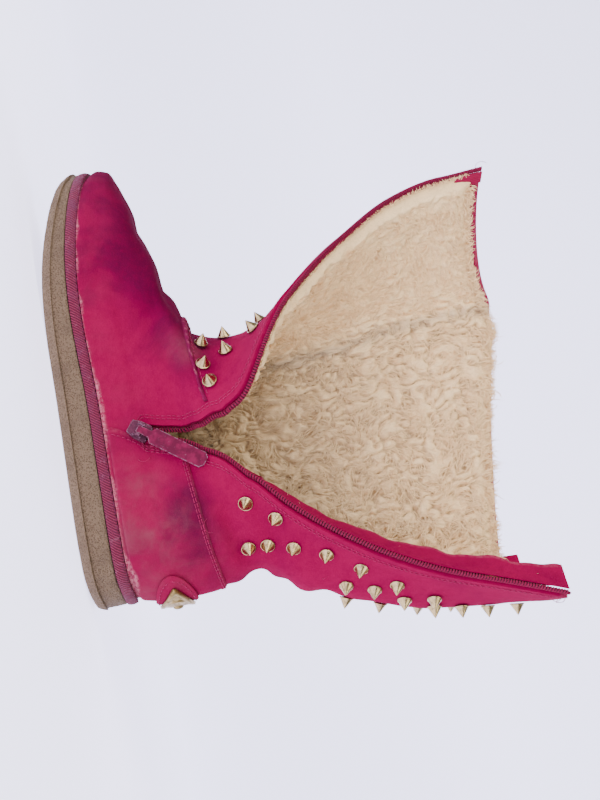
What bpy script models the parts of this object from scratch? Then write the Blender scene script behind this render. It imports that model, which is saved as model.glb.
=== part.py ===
# Right winter boot with a studded shaft, fleece lined, open down a zip on its inner side
# Metres, Z up, toe towards -X, inner side of the foot towards -Y
# The origin is on the floor, in the middle of the heel's flat spot
import math
import bmesh
import bpy
import numpy as np
from mathutils import Matrix, Vector

# Sole sizes
SOLE_LENGTH = 0.250
BALL_WIDTH = 0.094
HEEL_REACH = 0.034
TREAD_HEEL = 0.0150
TREAD_BALL = 0.0125
TREAD_TOE = 0.0075
MIDSOLE_THICK = 0.0055
TOE_SPRING = 0.024
TOE_SWING = 0.006
HEEL_BEVEL = 0.002
PAD_LENGTH = 0.024
FOREFOOT_PAD = 0.084
BAR_PITCH = 0.0125
BAR_GROOVE = 0.0045
GROOVE_DEPTH = 0.0016
GROOVE_DRAFT = 0.0006
GROOVE_MARGIN = 0.0040
TREAD_LAYER = 0.0048
TREAD_STEP = 0.0008
TREAD_TAPER = 0.0020

# Upper sizes
INSTEP_RISE = 0.0565
HEEL_RISE = 0.069
SHAFT_FRONT = 0.196
SHAFT_BACK = 0.135
UPPER_WALL = 0.0022
FLEECE_FOOT = 0.0060
FLEECE_SHAFT = 0.0085
FLEECE_LOCK = 0.0016
FLEECE_LIP = 0.003
# Width of the upper's turned edge left bare above the fleece on the front flap, and the share
# round at which the fleece reaches the collar again
COLLAR_FACING = 0.0032
FACING_END = 0.31
FACING_FADE = 0.08
INSOLE_THICK = 0.004
COUNTER_THICK = 0.0011
FOLD_SOFTNESS = 0.050
SEAT_FOLLOW = 0.36
GAP = 0.0003
# Room between soft pieces that lie over each other on the faceted surface
LAY_GAP = 0.0005
# Half of the share over which a slope of the surface is measured
FINE_SHARE = 0.01
INSOLE_ROOM = 0.0056

# Where the slit for the zip begins, as a share of the way up the upper
SLIT_FOOT = 0.12
# How far ahead of the middle of the inner side the zip is set, as an angle round the section
SEAM_ANGLE = 0.27
# Columns and fine steps round the upper
COLUMNS = 36
FINE_STEPS = 252

# Zip sizes: the tape lies inside the wall and the coil runs just past the wall's edge
ZIP_FOOT = 0.145
TAPE_WIDTH = 0.0060
TAPE_THICK = 0.0008
COIL_WIDTH = 0.0032
COIL_THICK = 0.0026
COIL_CROWN = 0.0003
GUARD_WIDTH = 0.0085
GUARD_RISE = 0.0110
GUARD_THICK = 0.0012
SLIDER_LENGTH = 0.0115
SLIDER_WIDTH = 0.0095
SLIDER_THICK = 0.0030
EAR_THICK = 0.0010
EAR_APART = 0.0046
EAR_HEIGHT = 0.0034
EAR_LENGTH = 0.0040
EAR_SUNK = 0.0010
PIN_RADIUS = 0.0006
PULL_LENGTH = 0.0380
PULL_WIDTH = 0.0085
PULL_NECK = 0.0038
PULL_THICK = 0.0012
PULL_CORNER = 0.0020
PULL_SHOULDER = 0.0060
PULL_BACKWARD = 38.0
PULL_LIFT = 2.0

# Heel badge, seam, tab and stud sizes
BADGE_HEIGHT = 0.0215
BADGE_WIDTH = 0.052
BADGE_THICK = 0.0013
BADGE_UP = 0.135
PLATE_HEIGHT = 0.0175
PLATE_WIDTH = 0.040
PLATE_THICK = 0.0011
SEAM_WIDTH = 0.0036
SEAM_HEIGHT = 0.0016
TAB_WIDTH = 0.0085
TAB_HEIGHT = 0.0125
TAB_LAP = 0.0050
TAB_THICK = 0.0014
STUD_RADIUS = 0.00375
STUD_HEIGHT = 0.0062
STUD_RIM = 0.0007
STUD_SIDES = 8

# Sole outline: share of the length from the heel, half widths as shares of the ball width
OUTLINE = (
    # share, inner, outer
    (0.00, 0.640, 0.640),
    (0.12, 0.520, 0.520),
    (0.25, 0.420, 0.435),
    (0.40, 0.372, 0.425),
    (0.55, 0.415, 0.460),
    (0.70, 0.525, 0.545),
    (0.82, 0.585, 0.600),
    (0.92, 0.675, 0.665),
    (1.00, 0.780, 0.780),
)
# Shares of the sole length at which the tread's thickness is set: heel, waist, ball and toe
TREAD_KEYS = (0.0, 0.35, 0.68, 1.0)

# Side view of the upper: share of the way up, then for the front line and the back line the reach
# as a share of the sole length and the rise, 0 to 1 up to the ankle and 1 to 2 up the shaft, then
# half widths as shares of the ball width, and how much the section keeps the sole's outline
PROFILE = (
    # up, front reach, front rise, back reach, back rise, inner, outer, last
    (0.00, 0.984, 0.000, 0.012, 0.000, 0.40, 0.42, 0.97),
    (0.07, 1.000, 0.080, 0.002, 0.150, 0.40, 0.42, 1.00),
    (0.14, 0.994, 0.175, -0.005, 0.300, 0.42, 0.43, 0.97),
    (0.20, 0.960, 0.290, -0.006, 0.440, 0.43, 0.43, 0.86),
    (0.27, 0.880, 0.480, -0.004, 0.580, 0.43, 0.42, 0.60),
    (0.34, 0.770, 0.665, 0.004, 0.710, 0.41, 0.40, 0.40),
    (0.41, 0.656, 0.850, 0.016, 0.860, 0.39, 0.39, 0.22),
    (0.47, 0.556, 1.000, 0.027, 1.000, 0.37, 0.39, 0.08),
    (0.54, 0.512, 1.100, -0.004, 1.090, 0.34, 0.38, 0.00),
    (0.62, 0.494, 1.260, -0.030, 1.230, 0.32, 0.36, 0.00),
    (0.72, 0.510, 1.450, -0.068, 1.420, 0.30, 0.33, 0.00),
    (0.81, 0.535, 1.640, -0.105, 1.620, 0.28, 0.30, 0.00),
    (0.905, 0.548, 1.830, -0.120, 1.810, 0.27, 0.28, 0.00),
    (1.00, 0.548, 2.000, -0.130, 2.000, 0.26, 0.26, 0.00),
)
# The seam between the vamp and the shaft: share round, share of the way up
SEAM_LINE = (
    (0.00, 0.415),
    (0.03, 0.404),
    (0.065, 0.403),
    (0.13, 0.425),
    (0.20, 0.455),
    (0.25, 0.472),
    (0.50, 0.368),
)
# Top edge of the heel counter: share round, share of the way up
COUNTER_LINE = (
    (0.56, 0.075),
    (0.66, 0.240),
    (0.75, 0.325),
    (0.80, 0.313),
    (0.88, 0.289),
    (1.00, 0.268),
)
# Lines of studs: whether it follows the back zip edge, the number of studs, the shares of the way
# up of its first and last, and its distances from that edge at even steps
STUD_LINES = (
    (True, 2, 0.450, 0.519, 0.0165, 0.0122),
    (True, 7, 0.423, 0.800, 0.0460, 0.0350, 0.0234, 0.0154, 0.0150, 0.0196, 0.0264),
    (True, 7, 0.650, 0.969, 0.0323, 0.0285, 0.0325, 0.0370, 0.0370, 0.0380, 0.0354),
    (True, 5, 0.660, 0.940, 0.0500, 0.0510, 0.0540, 0.0550, 0.0550),
    (False, 4, 0.450, 0.820, 0.0170, 0.0233, 0.0260, 0.0270),
    (False, 5, 0.442, 0.742, 0.0288, 0.0342, 0.0380, 0.0400, 0.0400),
    (False, 5, 0.469, 0.717, 0.0464, 0.0558, 0.0580, 0.0580, 0.0580),
)
# How the unzipped shaft lies open: share of the way up, then for the front flap and the back flap
# the angle that it still turns through from the outer side, the pull of its zip edge away from
# the other edge and its droop as shares of the ball width, and its length as a share of a closed one
OPENING = (
    # up, front turn, pull, length, droop, back turn, pull, length, droop
    (0.00, 180, 0.00, 1.00, 0.00, 180, 0.00, 1.00, 0.00),
    (0.12, 180, -0.09, 1.00, 0.00, 180, 0.09, 1.00, 0.00),
    (0.145, 180, -0.045, 1.00, 0.00, 180, 0.134, 1.00, 0.00),
    (0.20, 180, -0.034, 1.00, 0.00, 179, 0.128, 1.00, 0.00),
    (0.27, 180, 0.015, 1.00, 0.00, 178, 0.09, 1.00, 0.00),
    (0.34, 176, 0.066, 1.00, 0.00, 174, 0.04, 1.00, 0.00),
    (0.41, 169, 0.082, 0.97, 0.00, 166, -0.04, 1.00, 0.00),
    (0.47, 156, 0.03, 0.94, 0.00, 154, -0.09, 1.00, 0.00),
    (0.54, 130, -0.06, 0.88, 0.01, 140, -0.13, 0.96, 0.00),
    (0.62, 98, 0.00, 0.78, 0.03, 126, -0.12, 0.90, 0.00),
    (0.72, 71, 0.01, 0.70, 0.07, 113, -0.10, 0.86, -0.01),
    (0.81, 53, 0.03, 0.66, 0.12, 105, -0.08, 0.84, -0.03),
    (0.905, 41, 0.03, 0.66, 0.17, 99, -0.05, 0.84, -0.06),
    (1.00, 34, 0.01, 0.69, 0.23, 94, 0.00, 0.84, -0.10),
)


def curve(table, column, at):
    """Smooth curve through one column of a table, with no swings between its rows."""
    keys = np.array([row[0] for row in table], float)
    values = np.array([row[column] for row in table], float)
    at = np.clip(np.asarray(at, float), keys[0], keys[-1])
    step = np.diff(keys)
    slope = np.diff(values) / step
    lean = np.empty_like(values)
    lean[0] = slope[0]
    lean[-1] = slope[-1]
    before, after = slope[:-1], slope[1:]
    same_way = before * after > 0
    total = np.where(same_way, before + after, 1.0)
    lean[1:-1] = np.where(same_way, 2 * before * after / total, 0.0)
    index = np.clip(np.searchsorted(keys, at, side="right") - 1, 0, len(keys) - 2)
    width = step[index]
    t = (at - keys[index]) / width
    start = (1 + 2 * t) * (1 - t) ** 2 * values[index] + t * (1 - t) ** 2 * width * lean[index]
    end = t * t * (3 - 2 * t) * values[index + 1] - t * t * (1 - t) * width * lean[index + 1]
    return start + end


def ramp(share):
    """Soft step from 0 to 1."""
    share = np.clip(share, 0.0, 1.0)
    return share * share * (3 - 2 * share)


def ground(s):
    """Height of the tread's underside, s from the back of the heel."""
    share = np.asarray(s, float) / SOLE_LENGTH
    toe = np.clip((share - 0.53) / 0.47, 0.0, 1.05)
    heel = np.clip((0.07 - share) / 0.07, 0.0, 1.2)
    return TOE_SPRING * toe ** 2 + HEEL_BEVEL * heel ** 2


def tread_top(s):
    """Height of the top of the outsole."""
    thick = (TREAD_HEEL, TREAD_HEEL, TREAD_BALL, TREAD_TOE)
    table = tuple(zip(TREAD_KEYS, thick))
    return ground(s) + curve(table, 1, np.asarray(s, float) / SOLE_LENGTH)


def seat(s):
    """Height at which the upper and the insole rest on the midsole."""
    return tread_top(s) + MIDSOLE_THICK + 2 * GAP


def swing(s):
    """Sideways offset of the sole's middle line: the toe turns inwards."""
    return -TOE_SWING * ramp((np.asarray(s, float) / SOLE_LENGTH - 0.55) / 0.45)


def half_width(share, side):
    """Fullness of the outline on the inner side (side -1) or the outer side (side 1)."""
    return BALL_WIDTH * curve(OUTLINE, 1 if side < 0 else 2, share)


def edge_line(reach, rise, foot_rise, shaft_rise):
    """Point of the front or the back line in the side view."""
    s = reach * SOLE_LENGTH
    foot = foot_rise * min(rise, 1.0)
    shaft = shaft_rise * max(rise - 1.0, 0.0)
    return s, float(seat(np.clip(s, 0.0, SOLE_LENGTH))) + foot + shaft


def turned(u):
    """Angle round the section for a share u of the way round it, from the zip to the zip."""
    keys = ((0.0, -SEAM_ANGLE), (0.25, math.pi / 2), (0.5, math.pi),
            (0.75, 1.5 * math.pi), (1.0, 2 * math.pi - SEAM_ANGLE))
    return curve(keys, 1, u)


def softened(heading, length, width):
    """Headings of the steps of a line with its bends spread over a width along it."""
    if width < 1e-4:
        return heading
    along = np.cumsum(length) - length / 2
    offsets = np.linspace(-width / 2, width / 2, 25)
    spread = [np.interp(along + offset, along, heading) for offset in offsets]
    return np.mean(spread, axis=0)


def section(up):
    """Fine points once round the upper, from the zip's front edge by way of the toe to its back edge."""
    profile = [float(curve(PROFILE, k, up)) for k in range(1, 8)]
    reach_f, rise_f, reach_b, rise_b, inner, outer, last = profile
    opening = [float(curve(OPENING, k, up)) for k in range(1, 9)]
    turn_f, pull_f, length_f, droop_f, turn_b, pull_b, length_b, droop_b = opening
    s_front, z_front = edge_line(reach_f, rise_f, INSTEP_RISE, SHAFT_FRONT)
    s_back, z_back = edge_line(reach_b, rise_b, HEEL_RISE, SHAFT_BACK)
    u = np.linspace(0.0, 1.0, FINE_STEPS + 1)
    angle = turned(u)
    share = (1 + np.sin(angle)) / 2
    s = s_back + (s_front - s_back) * share
    wide_in = last * half_width(share, -1) + (1 - last) * inner * BALL_WIDTH
    wide_out = last * half_width(share, 1) + (1 - last) * outer * BALL_WIDTH
    across = np.cos(angle)
    y = -across * np.where(across > 0, wide_in, wide_out)
    # The closed section is unrolled from the middle of the outer side, keeping its length
    step = np.diff(np.stack([s, y], -1), axis=0)
    heading = np.unwrap(np.arctan2(step[:, 1], step[:, 0]))
    middle = FINE_STEPS // 2
    centre = (heading[middle - 1] + heading[middle]) / 2
    between = (u[1:] + u[:-1]) / 2
    turn = np.where(between < 0.5, turn_f, turn_b) / 180.0
    heading = centre + (heading - centre) * turn
    shorter = np.where(between < 0.5, 1 - (1 - length_f) * ramp((0.32 - between) / 0.12),
                       1 - (1 - length_b) * ramp((between - 0.68) / 0.12))
    length = np.hypot(step[:, 0], step[:, 1]) * shorter
    heading = softened(heading, length, FOLD_SOFTNESS * (1 - (turn_f + turn_b) / 360))
    step = np.stack([np.cos(heading), np.sin(heading)], -1) * length[:, None]
    flat = np.zeros((FINE_STEPS + 1, 2))
    flat[middle:] = np.concatenate([[(0.0, 0.0)], np.cumsum(step[middle:], axis=0)])
    flat[:middle] = -np.cumsum(step[:middle][::-1], axis=0)[::-1]
    flat += (s[middle], y[middle])
    flat[:, 0] += BALL_WIDTH * (pull_f * ramp(1 - u / 0.16) - pull_b * ramp(1 - (1 - u) / 0.16))
    ahead = (flat[:, 0] - s_back) / (s_front - s_back)
    z = z_back + (z_front - z_back) * ahead
    # Low down the wall follows the curved top of the sole, and higher up each section is flat
    seats = [float(seat(np.clip(end, 0.0, SOLE_LENGTH))) for end in (s_back, s_front)]
    sag = seat(np.clip(flat[:, 0], 0.0, SOLE_LENGTH)) - (seats[0] + (seats[1] - seats[0]) * ahead)
    z += sag * float(ramp(1 - up / SEAT_FOLLOW))
    z -= BALL_WIDTH * (droop_f * ramp((0.28 - u) / 0.28) + droop_b * ramp((u - 0.72) / 0.28))
    bend = swing(np.clip(flat[:, 0], 0, SOLE_LENGTH))
    return np.stack([HEEL_REACH - flat[:, 0], flat[:, 1] + bend, z], -1)


def row_shares():
    """Shares of the way up at which the upper has a row of corners: the table's rows and between them."""
    keys = [row[0] for row in PROFILE]
    middles = [(a + b) / 2 for a, b in zip(keys[3:], keys[4:])]
    shares = sorted(keys[:2] + [SLIT_FOOT, ZIP_FOOT] + keys[3:] + middles[:-2])
    return np.array(shares)


def build_grid():
    """Corners of the upper's outside, its outward directions there and the rows' shares of the way up."""
    ups = row_shares()
    fine = np.array([section(up) for up in ups])
    hop = 0.004
    above = np.array([section(min(up + hop, 1.0)) for up in ups])
    below = np.array([section(max(up - hop, 0.0)) for up in ups])
    along = np.gradient(fine, axis=1)
    closed = ups <= SLIT_FOOT + 1e-9
    round_end = (fine[closed][:, 1] - fine[closed][:, -2]) / 2
    along[closed, 0] = round_end
    along[closed, -1] = round_end
    normal = np.cross(above - below, along)
    normal /= np.linalg.norm(normal, axis=2, keepdims=True)
    every = FINE_STEPS // COLUMNS
    points = fine[:, ::every].copy()
    normals = normal[:, ::every].copy()
    middle = (points[closed, 0] + points[closed, -1]) / 2
    points[closed, 0] = middle
    points[closed, -1] = middle
    return ups, points, normals


UPS, POINTS, NORMALS = build_grid()
SLIT_ROW = int(np.argmin(np.abs(UPS - SLIT_FOOT)))


def skin(u, up, depth=0.0):
    """Point under the upper's faceted outside, u round it and up it as shares, and its outward direction."""
    row = min(max(int(np.searchsorted(UPS, up, side="right")) - 1, 0), len(UPS) - 2)
    rise = (up - UPS[row]) / (UPS[row + 1] - UPS[row])
    column = min(max(int(math.floor(u * COLUMNS + 1e-9)), 0), COLUMNS - 1)
    turn = u * COLUMNS - column
    result = []
    for grid in (POINTS, NORMALS):
        low = grid[row, column] * (1 - turn) + grid[row, column + 1] * turn
        high = grid[row + 1, column] * (1 - turn) + grid[row + 1, column + 1] * turn
        result.append(low * (1 - rise) + high * rise)
    point, outward = result
    outward = outward / np.linalg.norm(outward)
    return point - outward * depth, outward


def share_from_edge(up, distance, from_back):
    """Share u at a distance along the upper from the zip's front or back edge."""
    line = np.array([skin(k / COLUMNS, up)[0] for k in range(COLUMNS + 1)])
    length = np.concatenate([[0.0], np.cumsum(np.linalg.norm(np.diff(line, axis=0), axis=1))])
    if from_back:
        distance = length[-1] - distance
    return float(np.interp(distance, length, np.arange(COLUMNS + 1) / COLUMNS))


def clear_scene():
    for item in list(bpy.data.objects):
        bpy.data.objects.remove(item, do_unlink=True)


def material(name, colour, rough, metallic=0.0):
    made = bpy.data.materials.new(name)
    made.use_nodes = True
    shader = made.node_tree.nodes["Principled BSDF"]
    shader.inputs["Base Color"].default_value = (*colour, 1.0)
    shader.inputs["Roughness"].default_value = rough
    shader.inputs["Metallic"].default_value = metallic
    made.diffuse_color = (*colour, 1.0)
    return made


def add_object(name, corners, faces, look, sharp=40.0):
    """One closed solid from its corners and faces."""
    mesh = bpy.data.meshes.new(name)
    mesh.from_pydata([tuple(map(float, corner)) for corner in corners], [], faces)
    work = bmesh.new()
    work.from_mesh(mesh)
    bmesh.ops.recalc_face_normals(work, faces=work.faces)
    work.to_mesh(mesh)
    work.free()
    mesh.materials.append(look)
    mesh.shade_smooth()
    mesh.set_sharp_from_angle(angle=math.radians(sharp))
    made = bpy.data.objects.new(name, mesh)
    bpy.context.scene.collection.objects.link(made)
    return made


def loft(rings, capped=True):
    """Corners and faces of a skin over rings of equal length, each ring closed."""
    count = len(rings[0])
    corners = [corner for ring in rings for corner in ring]
    faces = []
    for k in range(len(rings) - 1):
        for m in range(count):
            after = (m + 1) % count
            faces.append((k * count + m, k * count + after, (k + 1) * count + after, (k + 1) * count + m))
    if capped:
        faces.append(tuple(range(count)))
        faces.append(tuple((len(rings) - 1) * count + m for m in range(count)))
    return corners, faces


def sole_layer(name, stations, levels, look):
    """Layer of the sole: for each level a height over s and an inset of the outline."""
    rings = []
    for height, inset in levels:
        ring = []
        for side, order in ((-1, stations), (1, stations[::-1])):
            for s in order:
                share = s / SOLE_LENGTH
                chord = 2 * math.sqrt(max(share * (1 - share), 0.0))
                wide = max(chord * float(half_width(share, side)) - inset, 0.0006)
                reach = HEEL_REACH - SOLE_LENGTH / 2 + (SOLE_LENGTH / 2 - s) * (1 - 2 * inset / SOLE_LENGTH)
                ring.append((reach, side * wide + float(swing(s)), float(height(s))))
        rings.append(ring)
    count = len(stations)
    corners, faces = loft(rings, capped=False)
    for base in (0, (len(rings) - 1) * 2 * count):
        for k in range(count - 1):
            faces.append((base + k, base + k + 1, base + 2 * count - 2 - k, base + 2 * count - 1 - k))
    return add_object(name, corners, faces, look, sharp=35.0)


def rounded_stations(count):
    """Places along the sole, closer together at its two round ends."""
    return [SOLE_LENGTH * (1 - math.cos(math.pi * k / count)) / 2 for k in range(count + 1)]


def groove_starts():
    """Backs of the grooves across the tread, none under the two flat pads."""
    starts = []
    for k in range(1, int(SOLE_LENGTH / BAR_PITCH) - 1):
        start = k * BAR_PITCH
        pads = [abs(start + BAR_GROOVE / 2 - centre) for centre in (HEEL_REACH, HEEL_REACH + FOREFOOT_PAD)]
        if min(pads) > (PAD_LENGTH + BAR_GROOVE) / 2:
            starts.append(start)
    return starts


def build_outsole(look):
    grooves = groove_starts()
    marks = []
    for start in grooves:
        marks += [start, start + GROOVE_DRAFT, start + BAR_GROOVE - GROOVE_DRAFT, start + BAR_GROOVE]
    ends = [s for s in rounded_stations(26) if all(abs(s - mark) > 0.0022 for mark in marks)]
    stations = sorted(ends + marks)

    def underside(s):
        middles = [start + BAR_GROOVE / 2 for start in grooves]
        deep = any(abs(s - middle) <= BAR_GROOVE / 2 - GROOVE_DRAFT + 1e-6 for middle in middles)
        return ground(s) + (GROOVE_DEPTH if deep else 0.0)

    levels = (
        (underside, TREAD_TAPER + GROOVE_MARGIN),
        (ground, TREAD_TAPER + GROOVE_MARGIN - GROOVE_DRAFT),
        (ground, TREAD_TAPER),
        (lambda s: ground(s) + TREAD_LAYER, 0.0),
        (lambda s: ground(s) + TREAD_LAYER + TREAD_STEP / 2, TREAD_STEP),
        (tread_top, TREAD_STEP),
    )
    return sole_layer("outsole", stations, levels, look)


def build_midsole(look):
    levels = (
        (lambda s: tread_top(s) + GAP, TREAD_STEP),
        (lambda s: tread_top(s) + GAP + MIDSOLE_THICK / 2, 0.0),
        (lambda s: tread_top(s) + GAP + MIDSOLE_THICK, TREAD_STEP),
    )
    return sole_layer("wrapped_midsole", rounded_stations(30), levels, look)


def build_insole(look):
    inset = INSOLE_ROOM + UPPER_WALL
    levels = (
        (seat, inset),
        (lambda s: seat(s) + INSOLE_THICK, inset),
    )
    return sole_layer("insole", rounded_stations(22), levels, look)


def wall(name, ups, shares, outer_depth, inner_depth, slit_row, look):
    """Hollow wall between two depths, closed round up to the slit's row and open above it."""
    columns = COLUMNS
    index = {}
    corners = []

    def corner(layer, row, column):
        if row <= slit_row and column == columns:
            column = 0
        key = (layer, row, column)
        if key not in index:
            depth = (outer_depth, inner_depth)[layer]
            index[key] = len(corners)
            corners.append(depth(shares(column, ups[row]), row, column))
        return index[key]

    faces = []
    last = len(ups) - 1
    for row in range(last):
        for column in range(columns):
            for layer in (0, 1):
                faces.append((corner(layer, row, column), corner(layer, row, column + 1),
                              corner(layer, row + 1, column + 1), corner(layer, row + 1, column)))
    for row in (0, last):
        for column in range(columns):
            faces.append((corner(0, row, column), corner(0, row, column + 1),
                          corner(1, row, column + 1), corner(1, row, column)))
    for row in range(slit_row, last):
        for column in (0, columns):
            faces.append((corner(0, row, column), corner(0, row + 1, column),
                          corner(1, row + 1, column), corner(1, row, column)))
    return add_object(name, corners, faces, look, sharp=60.0)


def build_upper(look):
    def at_depth(depth):
        return lambda u, row, column: skin(u, UPS[row], depth)[0]
    return wall("upper", UPS, lambda column, up: column / COLUMNS, at_depth(0.0), at_depth(UPPER_WALL),
                SLIT_ROW, look)


def fleece_shares(column, up):
    """The fleece stops short of both zip edges, by the tape in front and by the guard behind."""
    open_share = float(ramp((up - SLIT_FOOT) / (ZIP_FOOT - SLIT_FOOT)))
    front = share_from_edge(up, (TAPE_WIDTH + 2 * GAP) * open_share, False)
    back = share_from_edge(up, (GUARD_WIDTH + GAP) * open_share, True)
    first, second = 2 / COLUMNS, 1 - 3 / COLUMNS
    u = column / COLUMNS
    if u < first:
        return front + (first - front) * u / first
    if u > second:
        return second + (back - second) * (u - second) / (1 - second)
    return u


def fleece_depth(up):
    """Depth of the fleece's own surface under the outside of the upper."""
    pile = FLEECE_FOOT + (FLEECE_SHAFT - FLEECE_FOOT) * float(ramp((up - 0.35) / 0.3))
    return UPPER_WALL + pile


def build_fleece(look):
    ups = [up for up in UPS if up > SLIT_FOOT - 0.01]

    def lip(u, row):
        short = float(ramp((FACING_END - u) / FACING_FADE))
        return FLEECE_LIP - (FLEECE_LIP + COLLAR_FACING) * short if row == len(ups) - 1 else 0.0

    def outer(u, row, column):
        point, outward = skin(u, ups[row], UPPER_WALL + 3 * GAP)
        return point + np.array((0.0, 0.0, lip(u, row)))

    def inner(u, row, column):
        lock = FLEECE_LOCK * (-1) ** (row + column // 2) * (0.6 + 0.4 * math.sin(2.1 * column + 1.3 * row))
        edge = row in (0, len(ups) - 1) or column in (0, COLUMNS)
        depth = fleece_depth(ups[row]) + (-FLEECE_LOCK if edge else lock)
        point, outward = skin(u, ups[row], depth)
        return point + np.array((0.0, 0.0, lip(u, row)))

    slit_row = ups.index(UPS[SLIT_ROW])
    return wall("fleece_lining", ups, fleece_shares, outer, inner, slit_row, look)


def patch(name, us, ups, outer_depth, inner_depth, look, sharp=40.0):
    """Piece lying on the upper between two depths, its columns at us and its rows at ups(u, share)."""
    rings = []
    for u in us:
        outside = [skin(u, up, outer_depth)[0] for up in ups(u)]
        inside = [skin(u, up, inner_depth)[0] for up in ups(u)][::-1]
        rings.append(outside + inside)
    corners, faces = loft(rings, capped=False)
    rows = len(rings[0]) // 2
    for base in (0, (len(rings) - 1) * 2 * rows):
        for k in range(rows - 1):
            faces.append((base + k, base + k + 1, base + 2 * rows - 2 - k, base + 2 * rows - 1 - k))
    return add_object(name, corners, faces, look, sharp)


def column_shares(first, last):
    """The upper's own columns between two shares, with the two shares themselves."""
    inside = [k / COLUMNS for k in range(COLUMNS + 1) if first + 0.004 < k / COLUMNS < last - 0.004]
    return [first] + inside + [last]


def counter_top(u):
    """Top edge of the heel counter: highest at the back, lower at both ends."""
    return float(curve(COUNTER_LINE, 1, u))


def build_counter(look):
    def rows(u):
        top = counter_top(u)
        inside = [up for up in UPS if 0.02 < up < top - 0.012]
        wanted = len([up for up in UPS if 0.02 < up < counter_top(0.75) - 0.012])
        spread = [0.014] + inside + [top]
        share = np.linspace(0, len(spread) - 1, wanted + 2)
        return [float(np.interp(k, np.arange(len(spread)), spread)) for k in share]
    last = 0.996
    return patch("heel_counter", column_shares(COUNTER_LINE[0][0], last), rows, -LAY_GAP - COUNTER_THICK,
                 -LAY_GAP, look)


def build_vamp_seam(look):
    u, up = SEAM_LINE[-2]
    rise = skin(u, up + FINE_SHARE)[0] - skin(u, up - FINE_SHARE)[0]
    half = SEAM_WIDTH * FINE_SHARE / float(np.linalg.norm(rise))

    def rows(u):
        middle = float(curve(SEAM_LINE, 1, u))
        return [middle - half, middle, middle + half]
    rings = []
    for u in column_shares(0.012, 0.5):
        low, middle, high = rows(u)
        rings.append([skin(u, low, -GAP - 0.0004)[0], skin(u, low, -SEAM_HEIGHT * 0.6)[0],
                      skin(u, middle, -SEAM_HEIGHT)[0], skin(u, high, -SEAM_HEIGHT * 0.6)[0],
                      skin(u, high, -GAP - 0.0004)[0]])
    corners, faces = loft(rings)
    return add_object("vamp_seam", corners, faces, look)


def edge_frame(up, back):
    """Frame at a zip edge: the edge's point, the way out past it and the upper's outward direction."""
    u = 1.0 if back else 0.0
    inner_u = 1 - 1 / COLUMNS if back else 1 / COLUMNS
    edge, outward = skin(u, up)
    past = edge - skin(inner_u, up)[0]
    past /= np.linalg.norm(past)
    outward = outward - past * float(outward @ past)
    return edge, past, outward / np.linalg.norm(outward)


def edge_sweep(name, back, outline, look, foot=ZIP_FOOT):
    """Strip along a zip edge from its outline: distance past the edge and depth."""
    rings = []
    for up in [up for up in UPS if up >= foot - 1e-9]:
        edge, past, outward = edge_frame(up, back)
        rings.append([edge + past * over - outward * depth for over, depth in outline])
    corners, faces = loft(rings)
    return add_object(name, corners, faces, look, sharp=30.0)


def build_zip(name, back, look):
    tape_top = UPPER_WALL + 3 * GAP
    tape_foot = tape_top + TAPE_THICK
    coil_top = tape_foot - COIL_THICK
    start = LAY_GAP
    end = start + COIL_WIDTH
    outline = ((-TAPE_WIDTH, tape_top), (start, tape_top), (start, coil_top),
               (start + COIL_WIDTH / 2, coil_top - COIL_CROWN), (end, coil_top + COIL_CROWN),
               (end, tape_foot), (-TAPE_WIDTH, tape_foot))
    return edge_sweep(name, back, outline, look)


def build_guard(look):
    near = UPPER_WALL + TAPE_THICK + 4 * GAP
    far = near + GUARD_RISE
    outline = ((0.0015, near), (0.0012, near + GUARD_THICK), (-GUARD_WIDTH + 0.0012, far + GUARD_THICK),
               (-GUARD_WIDTH + 0.0016, far), (-TAPE_WIDTH, near + 0.0012))
    return edge_sweep("zip_guard", True, outline, look, foot=0.20)


def slider_frame():
    """Where the slider sits: its centre on the inner side, the pull's way up, the way across and outwards."""
    foot, outward_low = skin(0.0, SLIT_FOOT - 0.03)
    point, outward = skin(0.0, SLIT_FOOT + 0.012)
    point = (point + skin(1.0, SLIT_FOOT + 0.012)[0]) / 2
    out = Vector(outward + outward_low).normalized()
    back = math.radians(PULL_BACKWARD)
    up = Vector((math.sin(back), 0.0, math.cos(back)))
    up = (up - out * up.dot(out)).normalized()
    across = up.cross(out).normalized()
    return Vector(point), up, across, out


def frame_matrix(centre, across, up, out):
    turn = Matrix((across, up, out)).transposed()
    return Matrix.Translation(centre) @ turn.to_4x4()


def box_mesh(work, size, centre):
    made = bmesh.ops.create_cube(work, size=1.0)
    bmesh.ops.scale(work, verts=made["verts"], vec=size)
    bmesh.ops.translate(work, verts=made["verts"], vec=centre)
    return made["verts"]


def mesh_object(name, work, look, place, sharp=30.0):
    bmesh.ops.recalc_face_normals(work, faces=work.faces)
    mesh = bpy.data.meshes.new(name)
    work.to_mesh(mesh)
    work.free()
    mesh.materials.append(look)
    mesh.shade_smooth()
    mesh.set_sharp_from_angle(angle=math.radians(sharp))
    made = bpy.data.objects.new(name, mesh)
    bpy.context.scene.collection.objects.link(made)
    made.matrix_world = place
    return made


def outline_prism(work, outline, low, high):
    """Upright prism over an outline in the local XY plane."""
    base = [work.verts.new((x, y, low)) for x, y in outline]
    top = [work.verts.new((x, y, high)) for x, y in outline]
    work.faces.new(base)
    work.faces.new(top)
    count = len(outline)
    for k in range(count):
        after = (k + 1) % count
        work.faces.new((base[k], base[after], top[after], top[k]))


def add_boolean(made, other, kind):
    cut = made.modifiers.new(kind.lower(), "BOOLEAN")
    cut.operation = kind
    cut.solver = "EXACT"
    cut.object = other
    other.hide_render = True
    other.display_type = "WIRE"


def hinge_height():
    return SLIDER_THICK + EAR_HEIGHT / 2 + GAP


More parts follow.
